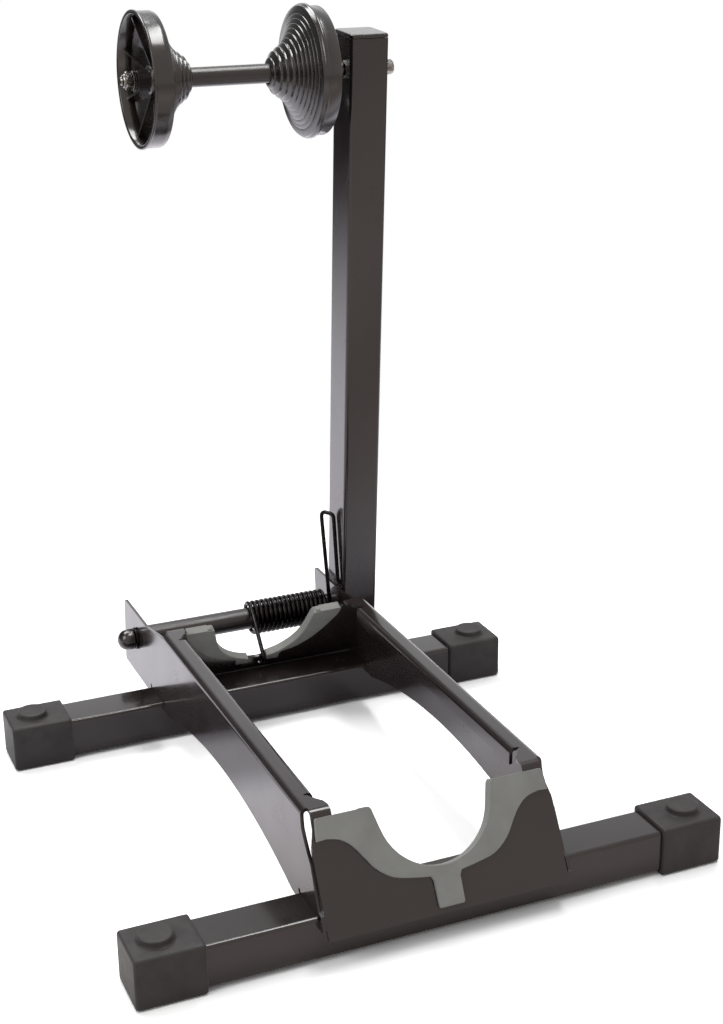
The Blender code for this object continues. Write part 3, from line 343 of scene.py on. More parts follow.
# %% Dress one solid
def dress(node, body, material, radius, trim=0.0):
    """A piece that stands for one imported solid, with rounded edges and its real material.

    trim takes this many millimetres off its top end, along the arm.
    """
    mesh = bmesh.new()
    mesh.from_mesh(frame["nodes"][node].data)
    bmesh.ops.remove_doubles(mesh, verts=mesh.verts, dist=WELD * MM)
    bmesh.ops.dissolve_limit(mesh, angle_limit=FLAT_WITHIN, verts=mesh.verts, edges=mesh.edges)
    for vertex in mesh.verts:
        if trim and vertex.co.z > cad_low.z + ARM_END_FROM * MM:
            vertex.co -= Vector((0.0, -math.sin(ARM_LEAN), math.cos(ARM_LEAN))) * trim * MM
    data = bpy.data.meshes.new(node + "_dressed")
    mesh.to_mesh(data)
    mesh.free()
    piece = bpy.data.objects.new(node + "_dressed", data)
    bpy.context.scene.collection.objects.link(piece)
    data.materials.append(MATERIALS[material])
    shade(piece, 180)
    round_edges(piece, radius)
    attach(piece, body)
    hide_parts(node)


# %% Dress every plain solid
# Each finish is a slot, a material and an edge radius in millimetres
GLOSS = ("black_paint", "gloss_black_powder_coat", 0.35)
SATIN = ("black_paint", "satin_black_powder_coat", 0.3)
LINER = ("grey_rubber", "grey_moulded_rubber", 0.4)
PLUG = ("black_plastic", "black_nylon", 0.3)
BEARING = ("black_plastic", "black_nylon", 0.15)
BLACKENED = ("black_steel", "blackened_hardware_steel", 0.15)
ZINC = ("zinc_steel", "zinc_plated_steel", 0.15)
BRONZE = ("bronze", "sintered_bronze", 0.2)
PLAIN_SOLIDS = [("front_crossbar", "base", GLOSS), ("rear_crossbar", "base", GLOSS),
                ("cradle_tray", "base", GLOSS), ("pivot_spacer_tube", "base", SATIN),
                ("arm_tube", "arm", GLOSS), ("spool_core_tube", "spool", SATIN),
                ("front_liner", "base", LINER), ("rear_liner_left", "base", LINER),
                ("rear_liner_right", "base", LINER), ("arm_foot_plug", "arm", PLUG),
                ("arm_top_plug", "arm", PLUG), ("spool_bush_left", "spool", BEARING),
                ("spool_bush_right", "spool", BEARING), ("pivot_washer_left", "base", BLACKENED),
                ("pivot_washer_outer", "base", BLACKENED), ("arm_stop_pin", "base", BLACKENED),
                ("pivot_washer_inner", "base", ZINC), ("spool_bolt_washer", "arm", ZINC),
                ("spool_washer_left", "arm", ZINC), ("arm_pivot_bush", "arm", BRONZE)]
for node, body, (slot, material, radius) in PLAIN_SOLIDS:
    dress(node, body, material, radius, ARM_TRIM if node in ("arm_tube", "arm_top_plug") else 0.0)
print("dressed solids:", len(PLAIN_SOLIDS))

# %% [markdown]
# ## Shapes from rings
# Most turned and moulded pieces are rings of points joined by faces. A loft takes rings of equal
# length and closes the two ends, or, for a tube, joins the last ring to the first.

# %% Rings into meshes
def loft(rings, closed=False):
    """Faces between equal rings; closed joins the last ring to the first."""
    count = len(rings[0])
    points = [p for ring in rings for p in ring]
    faces = []
    pairs = len(rings) if closed else len(rings) - 1
    for k in range(pairs):
        a, b = k * count, ((k + 1) % len(rings)) * count
        faces += [(a + i, a + (i + 1) % count, b + (i + 1) % count, b + i) for i in range(count)]
    if not closed:
        faces.append(tuple(range(count))[::-1])
        faces.append(tuple(range((len(rings) - 1) * count, len(rings) * count)))
    return points, faces


# %% From points to a piece
def make_piece(name, points, faces, body, material, nodes, sharp=35):
    """A mesh from points in the stand's millimetres that stands for the named solids."""
    data = bpy.data.meshes.new(name)
    mesh = bmesh.new()
    made = [mesh.verts.new(stand(*p)) for p in points]
    for face in faces:
        mesh.faces.new([made[i] for i in face])
    bmesh.ops.recalc_face_normals(mesh, faces=mesh.faces)
    mesh.to_mesh(data)
    mesh.free()
    piece = bpy.data.objects.new(name, data)
    bpy.context.scene.collection.objects.link(piece)
    data.materials.append(MATERIALS[material])
    shade(piece, sharp)
    if body:
        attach(piece, body)
    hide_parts(*nodes)
    return piece


# %% Turned shapes
def circle(count):
    """Cosine and sine of angles spaced evenly once round."""
    return [(math.cos(2 * math.pi * k / count), math.sin(2 * math.pi * k / count)) for k in range(count)]


def turned(profile, centre, segments):
    """Rings for a profile of (x, r) points turned about the X axis through centre."""
    return [[(centre[0] + x, centre[1] + r * c, centre[2] + r * s) for c, s in circle(segments)]
            for x, r in profile]


# %% [markdown]
# ## The spool's cones
# A terraced cone grips a tyre of any width. Each terrace is a small riser and a land, with the
# edges slightly rounded by the mould. The open back shows eight thin ribs that run from the hub
# to the rim. The shell is one turned profile, and the ribs are plates let into it.

# %% Terraces
CONE_R = (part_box("spool_cone_left")[1].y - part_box("spool_cone_left")[0].y) / 2 / MM
EDGE = 0.35
LAND = 0.5
# A flank as (distance from the mouth, radius): it swells slowly behind the nose, then steeply
FLANK = [(35.9, 7.6), (33.9, 10.0), (30.2, 14.0), (23.6, 19.0), (19.6, 25.0), (16.3, 31.0),
         (13.9, 37.0), (12.3, CONE_R - 1.4)]
TERRACES = [1, 1, 2, 2, 2, 2, 1]


def terraces(start, end, count):
    """Risers and lands from start to end in (x, r), with every corner broken."""
    points = [start]
    dx, dr = (end[0] - start[0]) / count, (end[1] - start[1]) / count
    soft = math.copysign(EDGE, dx)
    for k in range(count):
        x, r = start[0] + dx * k, start[1] + dr * k + dr
        riser = x + dx * (1 - LAND)
        points += [(riser - soft * 0.4, r - EDGE), (riser + soft * 0.3, r - EDGE * 0.2),
                   (riser + soft, r), (x + dx - soft * 0.2, r)]
    return points


def skin_along(flank):
    """The terraced skin over the whole of a flank."""
    out = []
    for start, end, count in zip(flank, flank[1:], TERRACES):
        out += terraces(start, end, count)[1 if out else 0:]
    return out


def beyond(mouth, pairs):
    """Points of a profile whose x is measured from a mouth plane."""
    return [(mouth + x, r) for x, r in pairs]


print("cone radius", round(CONE_R, 1), "terraces", sum(TERRACES))

# %% Shell, hub and ribs
SPOOL_AXIS = Vector((0.0, SPOOL.y, SPOOL.z))
CONE_SEGMENTS = 112
HUB_R = 9.4
HUB_FILLET = 1.0
CORE_HOLE = 6.6
SHELL = 2.0
WALL_SHIFT = SHELL * 1.45
RIBS = 8
RIB_HALF = 0.8
BITE = 0.7


def cone(name, node, flank, shell, mouth, hub_end, way):
    """Terraced shell with its hub and ribs; way points from the nose to the mouth."""
    mouth_r = min(r for x, r in shell) - SHELL
    shift = way * WALL_SHIFT
    (nose_x, nose_r), (next_x, next_r) = flank[0], flank[1]
    t = (HUB_R + HUB_FILLET - nose_r) / (next_r - nose_r)
    root = (nose_x + (next_x - nose_x) * t + shift, HUB_R + HUB_FILLET)
    inside = [(x + shift, min(r - 0.6, mouth_r)) for x, r in flank[:0:-1]]
    profile = skin_along(flank) + shell + [(mouth, mouth_r + 0.5), (mouth - way * 0.5, mouth_r)]
    profile += inside + [root, (root[0] + way * 0.8, HUB_R), (hub_end - way * 0.5, HUB_R),
                         (hub_end, HUB_R - 0.5), (hub_end, CORE_HOLE), (nose_x, CORE_HOLE)]
    points, faces = loft(turned(profile, SPOOL_AXIS, CONE_SEGMENTS), closed=True)
    piece = make_piece(name, points, faces, None, "black_nylon", [node], 50)
    # A rib's outline reaches a little into the wall and the hub on every side
    outline = [(root[0] - way * BITE, HUB_R - BITE), (hub_end - way * 3.0, HUB_R - BITE),
               (mouth - way * 4.0, mouth_r + BITE)]
    outline += [(x - way * BITE * 0.6, r + BITE * 0.6) for x, r in inside + [root]]
    mesh = bmesh.new()
    mesh.from_mesh(piece.data)
    for k in range(RIBS):
        angle = 2 * math.pi * (k + 0.5) / RIBS
        out = Vector((0.0, math.cos(angle), math.sin(angle)))
        across = Vector((0.0, -math.sin(angle), math.cos(angle))) * RIB_HALF
        sides = [[SPOOL_AXIS + Vector((x, 0, 0)) + out * r + across * side for x, r in outline]
                 for side in (-1, 1)]
        rib_points, rib_faces = loft(sides)
        made = [mesh.verts.new(stand(*p)) for p in rib_points]
        rib = [mesh.faces.new([made[i] for i in face]) for face in rib_faces]
        bmesh.ops.recalc_face_normals(mesh, faces=rib)
    mesh.to_mesh(piece.data)
    mesh.free()
    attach(piece, "spool")
    print(name, len(piece.data.polygons), "faces, mouth at x =", round(mouth, 1))


# %% Both cones
HUB_IN = 8.0
core_low, core_high = (in_mm(p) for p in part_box("spool_core_tube"))
LEFT_MOUTH, RIGHT_MOUTH = core_low.x - 0.5, core_high.x - 9.5
left_shell = [(11.6, CONE_R - 0.9), (9.5, CONE_R - 0.8), (2.0, CONE_R - 0.8), (1.8, CONE_R - 0.5),
              (1.5, CONE_R - 0.1), (0.6, CONE_R), (0.2, CONE_R - 0.1), (0.0, CONE_R - 0.4)]
right_shell = [(-11.6, CONE_R - 0.5), (-10.9, CONE_R - 0.1), (-10.2, CONE_R), (-9.3, CONE_R),
               (-9.0, CONE_R - 0.3), (-8.5, CONE_R - 1.8), (-0.5, CONE_R - 1.8), (0.0, CONE_R - 2.3)]
cone("spool_cone_left_moulding", "spool_cone_left", beyond(LEFT_MOUTH, FLANK),
     beyond(LEFT_MOUTH, left_shell), LEFT_MOUTH, core_low.x + HUB_IN, -1)
cone("spool_cone_right_moulding", "spool_cone_right", beyond(RIGHT_MOUTH, [(-x, r) for x, r in FLANK]),
     beyond(RIGHT_MOUTH, right_shell), RIGHT_MOUTH, core_high.x - HUB_IN, 1)

# %% [markdown]
# ## The torsion spring
# The spring is one drawn wire: a hook over the rear plate, a leg to the coil, the coil, and a
# hairpin that reaches up beside the arm and hooks into it. A circle swept along the path gives
# the wire. When the arm swings, one end stays and the other turns, which is just what a torsion
# spring does; here the wire is a single piece that is not parented to either body.

# %% Sizes of the spring and of what it hooks into
WIRE_R = 1.5
COIL_R = 11.3
COIL_LEFT, COIL_PITCH = 9.9, 3.588
COIL_END = 4.4
EAR_GAP = 0.4
COIL_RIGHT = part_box("pivot_spacer_tube")[1].x / MM + EAR_GAP - COIL_END
PER_TURN = 28
LEAVE_HIGH = math.radians(168.5)
HAIRPIN_UP = 73.7
ARM_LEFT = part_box("arm_tube")[0].x / MM
HAIRPIN_X = ARM_LEFT - WIRE_R - 0.5
ARM_HOLE = (-10.0, 21.8)
HOOK_X = 4.6
SHEET = 2.2
PLATE_LEAN = 0.53
PLATE_OUT = 17.5
RIM_UP = 12.8


def rear_plate_y(z):
    """Outer face of the rear plate at a height."""
    return BAR_SPACING + PLATE_OUT - PLATE_LEAN * (z - BAR_TOP)


def on_arm(y, z):
    """Stand (y, z) of a point across and along the arm from its pivot."""
    return (PIVOT.y + y * math.cos(ARM_LEAN) - z * math.sin(ARM_LEAN),
            PIVOT.z + y * math.sin(ARM_LEAN) + z * math.cos(ARM_LEAN))


print("coil from x =", COIL_LEFT, "to", round(COIL_RIGHT, 1))


# %% Path of the wire
def rounded_path(points, radius, steps):
    """Polyline with its corners turned into smooth curves."""
    out = [Vector(points[0])]
    for before, corner, after in zip(points, points[1:], points[2:]):
        before, corner, after = Vector(before), Vector(corner), Vector(after)
        u, v = before - corner, after - corner
        turn = math.pi - u.angle(v)
        reach = min(radius * math.tan(turn / 2), u.length * 0.48, v.length * 0.48)
        start, end = corner + u.normalized() * reach, corner + v.normalized() * reach
        for k in range(steps + 1):
            t = k / steps
            out.append(start.lerp(corner, t).lerp(corner.lerp(end, t), t))
    out.append(Vector(points[-1]))
    return out


def wire_path():
    """The whole wire from its lower tip to its upper tip."""
    # The lower hook goes over the notch's rim, down behind the plate and forward under it
    cosine = 1 / math.sqrt(1 + PLATE_LEAN ** 2)
    rim_z = BAR_TOP + RIM_UP * cosine
    thick = SHEET / cosine
    hook_z = rim_z - 6.4
    crest = (HOOK_X, rear_plate_y(rim_z) - thick * 0.5 - 0.6, rim_z + WIRE_R + 1.5)
    down = (HOOK_X, rear_plate_y(rim_z) - thick - 3.2, rim_z - 1.2)
    low = (HOOK_X, rear_plate_y(hook_z) - thick - 3.4, hook_z)
    tip = (HOOK_X, rear_plate_y(hook_z) + 2.6, hook_z)
    # The leg leaves the coil where it just touches it
    dy, dz = crest[1] - PIVOT.y, crest[2] - PIVOT.z
    leave_low = math.atan2(dz, dy) - math.acos(COIL_R / math.hypot(dy, dz)) + 2 * math.pi
    part_turn = (leave_low - LEAVE_HIGH + 2 * math.pi) / (2 * math.pi)
    turns = round((COIL_RIGHT - COIL_LEFT) / COIL_PITCH - part_turn) + part_turn
    total = int(turns * PER_TURN)
    coil = []
    for k in range(total + 1):
        t = k / total
        a = leave_low - turns * 2 * math.pi * t
        coil.append(Vector((COIL_LEFT + (COIL_RIGHT - COIL_LEFT) * t,
                            PIVOT.y + COIL_R * math.cos(a), PIVOT.z + COIL_R * math.sin(a))))
    lower = rounded_path([tip, low, down, crest, coil[0]], 2.6, 8)
    # The hairpin climbs beside the arm, turns over and comes down to the arm's hole
    climb = Vector((0.0, math.sin(LEAVE_HIGH), -math.cos(LEAVE_HIGH)))
    top_left = coil[-1] + climb * HAIRPIN_UP
    top_right = (HAIRPIN_X, *on_arm(0.5, HAIRPIN_UP))
    foot = (HAIRPIN_X, *on_arm(*ARM_HOLE))
    inside = (ARM_LEFT + 6.0, *on_arm(*ARM_HOLE))
    upper = rounded_path([coil[-1], top_left, top_right, foot, inside], 3.9, 10)
    return lower[:-1] + coil + upper[1:]


wire = wire_path()
print("spring wire:", round(sum((b - a).length for a, b in zip(wire, wire[1:]))), "mm long")


# %% Sweep the wire
def wire_rings(path, radius, sides):
    """Circles set square to the path, carried along it without twisting."""
    rings = []
    last = len(path) - 1
    tangents = [(path[min(i + 1, last)] - path[max(i - 1, 0)]).normalized() for i in range(len(path))]
    across = tangents[0].orthogonal().normalized()
    for i, point in enumerate(path):
        if i:
            across = tangents[i - 1].rotation_difference(tangents[i]) @ across
        across = (across - tangents[i] * across.dot(tangents[i])).normalized()
        side = tangents[i].cross(across)
        rings.append([point + (across * c + side * s) * radius for c, s in circle(sides)])
    return rings


wire_points, wire_faces = loft(wire_rings(wire, WIRE_R, 12))
spring = make_piece("torsion_spring_wire", wire_points, wire_faces, None,
                    "blackened_spring_steel", ["torsion_spring"], 60)
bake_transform(spring)
print("spring faces:", len(wire_faces))

# %% [markdown]
# ## Rubber end caps
# Each cap is a boot moulded in one shot: a sock for the tube with soft edges, a thicker sole and
# a round peg on top. The mould's edges have a radius of about 2 mm, and the peg
# meets the top in a small fillet. The pieces are lofted from rounded rectangles.

# %% Cap from rounded rectangles
CAP_EDGE = 1.9
CAP_END = 3.0
CAP_FIT = 0.5
EDGE_STEPS = 7
PEG_TALL = 4.0


def rounded_rectangle(width, height, radius):
    """Points round a rectangle with rounded corners, centred on the origin."""
    points = []
    for cx, cy, first in ((1, 1, 0), (-1, 1, 90), (-1, -1, 180), (1, -1, 270)):
        for k in range(EDGE_STEPS + 1):
            a = math.radians(first + 90 * k / EDGE_STEPS)
            points.append((cx * (width / 2 - radius) + radius * math.cos(a),
                           cy * (height / 2 - radius) + radius * math.sin(a)))
    return points


def end_cap(node, side):
    """A boot, open towards the stand's middle; returns the middle and height of its top."""
    low, high = (in_mm(p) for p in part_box(node))
    deep = high.y - low.y
    top = high.z - PEG_TALL
    middle = ((low.x + high.x) / 2, (low.y + high.y) / 2, top / 2)
    outer = side * (high.x - low.x) / 2
    # Rings as (x, width, height, corner): a quarter round at the closed end, a lip at the mouth
    rings = []
    for k in range(EDGE_STEPS + 1):
        a = math.pi / 2 * k / EDGE_STEPS
        inset = CAP_EDGE * (1 - math.sin(a))
        x = outer - side * CAP_EDGE * (1 - math.cos(a))
        rings.append((x, deep - 2 * inset, top - 2 * inset, max(CAP_EDGE + 0.8 - inset * 0.8, 0.8)))
    rings.append((-outer + side * 2.6, deep, top, CAP_EDGE + 0.6))
    rings.append((-outer + side * 0.7, deep - 0.2, top - 0.2, CAP_EDGE + 0.5))
    rings.append((-outer + side * 0.2, deep - 0.9, top - 0.9, CAP_EDGE + 0.2))
    rings.append((-outer, deep - 1.8, top - 1.8, CAP_EDGE))
    shells = [[(middle[0] + x, middle[1] + a, middle[2] + b) for a, b in rounded_rectangle(width, height, corner)]
              for x, width, height, corner in rings]
    # The sock inside, which holds the tube above a thicker sole
    lift = BAR_TOP - BAR_TALL / 2 - top / 2
    sock = rounded_rectangle(BAR_DEEP + CAP_FIT, BAR_TALL + CAP_FIT, 2.6)
    for x in (-outer, outer - side * CAP_END):
        shells.append([(middle[0] + x, middle[1] + a, middle[2] + lift + b) for a, b in sock])
    points, faces = loft(shells)
    make_piece(node + "_boot", points, faces, "base", "black_epdm_rubber", [node], 60)
    return middle, top


# %% Peg on the cap's top
PEG_R = 9.9
PEG_OUT = 3.0
PEG_POINTS = 56
# Height above the top and radius, from under the fillet to the middle of the peg
PEG_PROFILE = [(-1.5, 11.3), (0.05, 11.3), (0.25, 10.7), (0.7, 10.2), (1.3, PEG_R), (3.1, PEG_R),
               (3.6, PEG_R - 0.18), (3.9, PEG_R - 0.6), (4.0, PEG_R - 1.1), (3.9, PEG_R - 2.0), (3.75, 6.0),
               (3.7, 0.4)]


def peg(name, x, y, top):
    """Peg turned about Z, seated in the cap's top."""
    rings = [[(x + r * c, y + r * s, top + h) for c, s in circle(PEG_POINTS)] for h, r in PEG_PROFILE]
    points, faces = loft(rings)
    make_piece(name, points, faces, "base", "black_epdm_rubber", [], 60)


for end in ("front", "rear"):
    for side_name, side in (("left", -1), ("right", 1)):
        node = "end_cap_" + end + "_" + side_name
        middle, top = end_cap(node, side)
        peg(node + "_peg", middle[0] + side * PEG_OUT, middle[1], top)
cap_low, cap_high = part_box("end_cap_front_left")
print("cap size:", [round(c / MM, 1) for c in cap_high - cap_low])

# %% [markdown]
# ## The fold of the rear liners
# Each rear liner folds over the upper edge of its plate. A small tongue of rubber closes the
# corner between that fold and the lip that lines the notch. Points are given along the plate:
# q runs up its face from the crossbar's top and n runs out of it.

# %% Close the folds
LINER_TOP = 54.9
# The ends of the tongue in x, with how far each ring rises above the liner's top
FOLD_RINGS = ((39.3, 0.9), (39.7, 0.97), (41.0, 0.97), (42.4, 0.97), (42.8, 0.9))


def rear_plate_point(x, q, n):
    """A point of the rear plate, in the stand's millimetres."""
    angle = math.atan(PLATE_LEAN)
    z = BAR_TOP + q * math.cos(angle)
    return (x, rear_plate_y(z) + n * math.cos(angle), z + n * math.sin(angle))


for side_name, side in (("left", -1), ("right", 1)):
    rings = []
    for x, rise in FOLD_RINGS:
        top = LINER_TOP + rise
        section = [(LINER_TOP - 0.5, -3.4), (LINER_TOP - 0.5, 0.6), (top - 0.2, 0.6), (top, 0.4), (top, -3.2),
                   (top - 0.2, -3.4)]
        rings.append([rear_plate_point(side * x, q, n) for q, n in section])
    points, faces = loft(rings)
    make_piece("rear_liner_" + side_name + "_fold", points, faces, "base",
               "grey_moulded_rubber", [], 50)
print("folds at x = +-", FOLD_RINGS[0][0], "to", FOLD_RINGS[-1][0])

# %% [markdown]
# ## Bolts and nuts
# A hexagon is a circle whose corners were left on. Turning the ends down by a 30 degree
# chamfer gives the curved edges that every real nut shows. The bolt's tip has a rolled thread,
# drawn here as fine rings one pitch apart.

# %% Round and hexagonal rings
HEX_POINTS = 72


def hex_radius(angle, flats):
    """Distance from the axis to a hexagon's side in this direction."""
    fold = (angle + math.pi / 6) % (math.pi / 3) - math.pi / 6
    return flats / 2 / math.cos(fold)


def hex_ring(x, flats, limit, centre):
    """One ring of a hexagon that is cut down to the radius limit."""
    ring = []
    for k in range(HEX_POINTS):
        a = 2 * math.pi * k / HEX_POINTS
        r = min(hex_radius(a, flats), limit)
        ring.append((x, centre[1] + r * math.cos(a), centre[2] + r * math.sin(a)))
    return ring


def round_ring(x, r, centre):
    """One ring of a turned part."""
    return [(x, centre[1] + r * c, centre[2] + r * s) for c, s in circle(HEX_POINTS)]


def chamfered(x0, x1, flats, centre):
    """Rings of a hexagon from x0 to x1 with chamfered ends."""
    corner = flats / math.sqrt(3)
    way = math.copysign(1.0, x1 - x0)
    small = flats / 2 * 0.94
    steps = [(0.0, small), (0.25, small + (corner - small) * 0.45), (0.55, small + (corner - small) * 0.8),
             (0.95, corner)]
    rings = [hex_ring(x0 + way * d, flats, limit, centre) for d, limit in steps]
    rings += [hex_ring(x1 - way * d, flats, limit, centre) for d, limit in steps[::-1]]
    return rings


def thread(x0, x1, radius, pitch, centre):
    """Rings of a thread's crests and roots from x0 to x1."""
    way = math.copysign(1.0, x1 - x0)
    root = radius - pitch * 0.5
    rings = []
    for k in range(int(abs(x1 - x0) / pitch)):
        start = x0 + way * pitch * k
        for share, r in ((0.1, radius), (0.3, radius), (0.6, root), (0.8, root)):
            rings.append(round_ring(start + way * pitch * share, r, centre))
    return rings


# %% Nuts and bolts in their places
PITCH = 1.25
THREAD_LONG = 19.6
FLANGE_R = 5.4
ZINC_HARDWARE = ("arm", "zinc_steel", "zinc_plated_steel")
BLACK_HARDWARE = ("base", "black_steel", "blackened_hardware_steel")


def nut(node, body, slot, material, flats, bore, collar=0.0):
    """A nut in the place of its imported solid; collar adds a locking ring on its left."""
    low, high = (in_mm(p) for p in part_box(node))
    centre = (low + high) / 2
    left = low.x + collar
    rings = chamfered(high.x, left, flats, centre)
    if collar:
        rings += [round_ring(left, flats / 2 * 0.9, centre), round_ring(low.x + 0.5, flats / 2 * 0.88, centre),
                  round_ring(low.x, flats / 2 * 0.8, centre)]
    rings += [round_ring(low.x, bore + 0.5, centre), round_ring(low.x + 0.5, bore, centre),
              round_ring(high.x - 0.5, bore, centre), round_ring(high.x, bore + 0.5, centre)]
    points, faces = loft(rings, closed=True)
    make_piece(node + "_turned", points, faces, body, material, [node], 28)


def bolt(node, body, slot, material, flats, head, shank, stand_off):
    """A bolt with its head on the right and a thread on its left end.

    stand_off moves the head's face out, on a flange, or in.
    """
    low, high = (in_mm(p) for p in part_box(node))
    centre = (low + high) / 2
    corner = flats / math.sqrt(3)
    seat = high.x - head
    face = high.x + stand_off
    under = seat + max(stand_off, 0.0) * 0.45
    rings = [round_ring(face - 0.25, flats / 2 * 0.7, centre), round_ring(face - 0.02, flats / 2 * 0.8, centre)]
    rings += [hex_ring(face - d, flats, limit, centre) for d, limit in
              ((0.0, flats / 2 * 0.9), (0.3, flats / 2 * 1.03), (0.9, corner))]
    rings.append(hex_ring(under, flats, corner, centre))
    if stand_off > 0:
        rings += [round_ring(under - 0.3, FLANGE_R - 0.3, centre), round_ring(seat + 0.3, FLANGE_R, centre),
                  round_ring(seat, FLANGE_R - 0.3, centre)]
    rings += [round_ring(seat, shank + 0.3, centre), round_ring(seat - 0.4, shank, centre),
              round_ring(low.x + THREAD_LONG + 0.4, shank, centre)]
    rings += thread(low.x + THREAD_LONG, low.x + 1.2, shank, PITCH, centre)
    rings += [round_ring(low.x + 1.0, shank - 0.1, centre), round_ring(low.x, shank - 0.9, centre)]
    points, faces = loft(rings)
    make_piece(node + "_turned", points, faces, body, material, [node], 28)


nut("spool_lock_nut", *ZINC_HARDWARE, flats=10.0, bore=3.3, collar=1.4)
nut("spool_jam_nut", *ZINC_HARDWARE, flats=10.0, bore=3.3)
bolt("spool_bolt", *ZINC_HARDWARE, flats=8.6, head=3.2, shank=3.0, stand_off=4.2)
bolt("pivot_bolt", *BLACK_HARDWARE, flats=13.0, head=2.6, shank=4.0, stand_off=-1.3)

# %% [markdown]
# ## The pivot's cap nut
# A moulded cap covers the nut on the left ear: a short skirt and a dome. The profile is an
# ellipse for the dome, so that the highlight slides off it without a kink.

# %% Domed cap
DOME_IN = 1.7
SKIRT = 5.0
DOME_STEPS = 12
CAP_BORE = 4.3
PIN_HOLE = 0.4


def cap_nut():
    """The cap over the pivot's nut, turned about the pivot."""
    low, high = (in_mm(p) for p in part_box("pivot_cap_nut"))
    centre = (low + high) / 2
    radius = (high.y - low.y) / 2
    left = low.x + DOME_IN
    dome = high.x - left - SKIRT
    profile = [(high.x, CAP_BORE), (high.x, radius - 0.9), (high.x - 0.3, radius - 0.4),
               (high.x - 0.8, radius - 0.1), (high.x - 1.4, radius), (high.x - SKIRT, radius)]
    for k in range(1, DOME_STEPS):
        a = math.pi / 2 * k / DOME_STEPS
        profile.append((high.x - SKIRT - dome * math.sin(a), radius * math.cos(a)))
    profile += [(left, PIN_HOLE), (left + 3.5, PIN_HOLE), (left + 4.5, CAP_BORE)]
    points, faces = loft([round_ring(x, r, centre) for x, r in profile], closed=True)
    make_piece("pivot_cap_nut_dome", points, faces, "base", "black_nylon",
               ["pivot_cap_nut"], 50)
    print("cap nut:", round(2 * radius, 1), "mm across,", round(dome + SKIRT, 1), "mm long")


cap_nut()

# %% [markdown]
# ## The white floor
# The stand is photographed on a white sweep that is lit from behind, so the floor burns out to
# white and a soft shadow lies in front of each bar. The floor is diffuse for every ray, so that
# it keeps its shadows, and only its level differs. The camera sees it white. The paint's
# reflections see a painted level: painted bright behind the stand, dimmer in front and dark far
# away, with a painted shadow in front of the rear crossbar and a painted warm tint. Light Path
# tells these rays apart. The sockets 1 to 4 of a Map Range are the start and end that it reads,
# then the start and end that it gives.

# %% Floor material
FLOOR_SEEN = 1.65
FLOOR_LIT = 0.86
SMOOTH = {"interpolation_type": "SMOOTHSTEP"}
NUMBER = {"data_type": "FLOAT"}


def mirror_or_glass(tree, path):
    """One for the rays that a shiny or clear surface sends, else zero."""
    return add_node(tree, "ShaderNodeMath", {"operation": "MAXIMUM"},
                    links={0: path.outputs["Is Glossy Ray"], 1: path.outputs["Is Transmission Ray"]}).outputs[0]


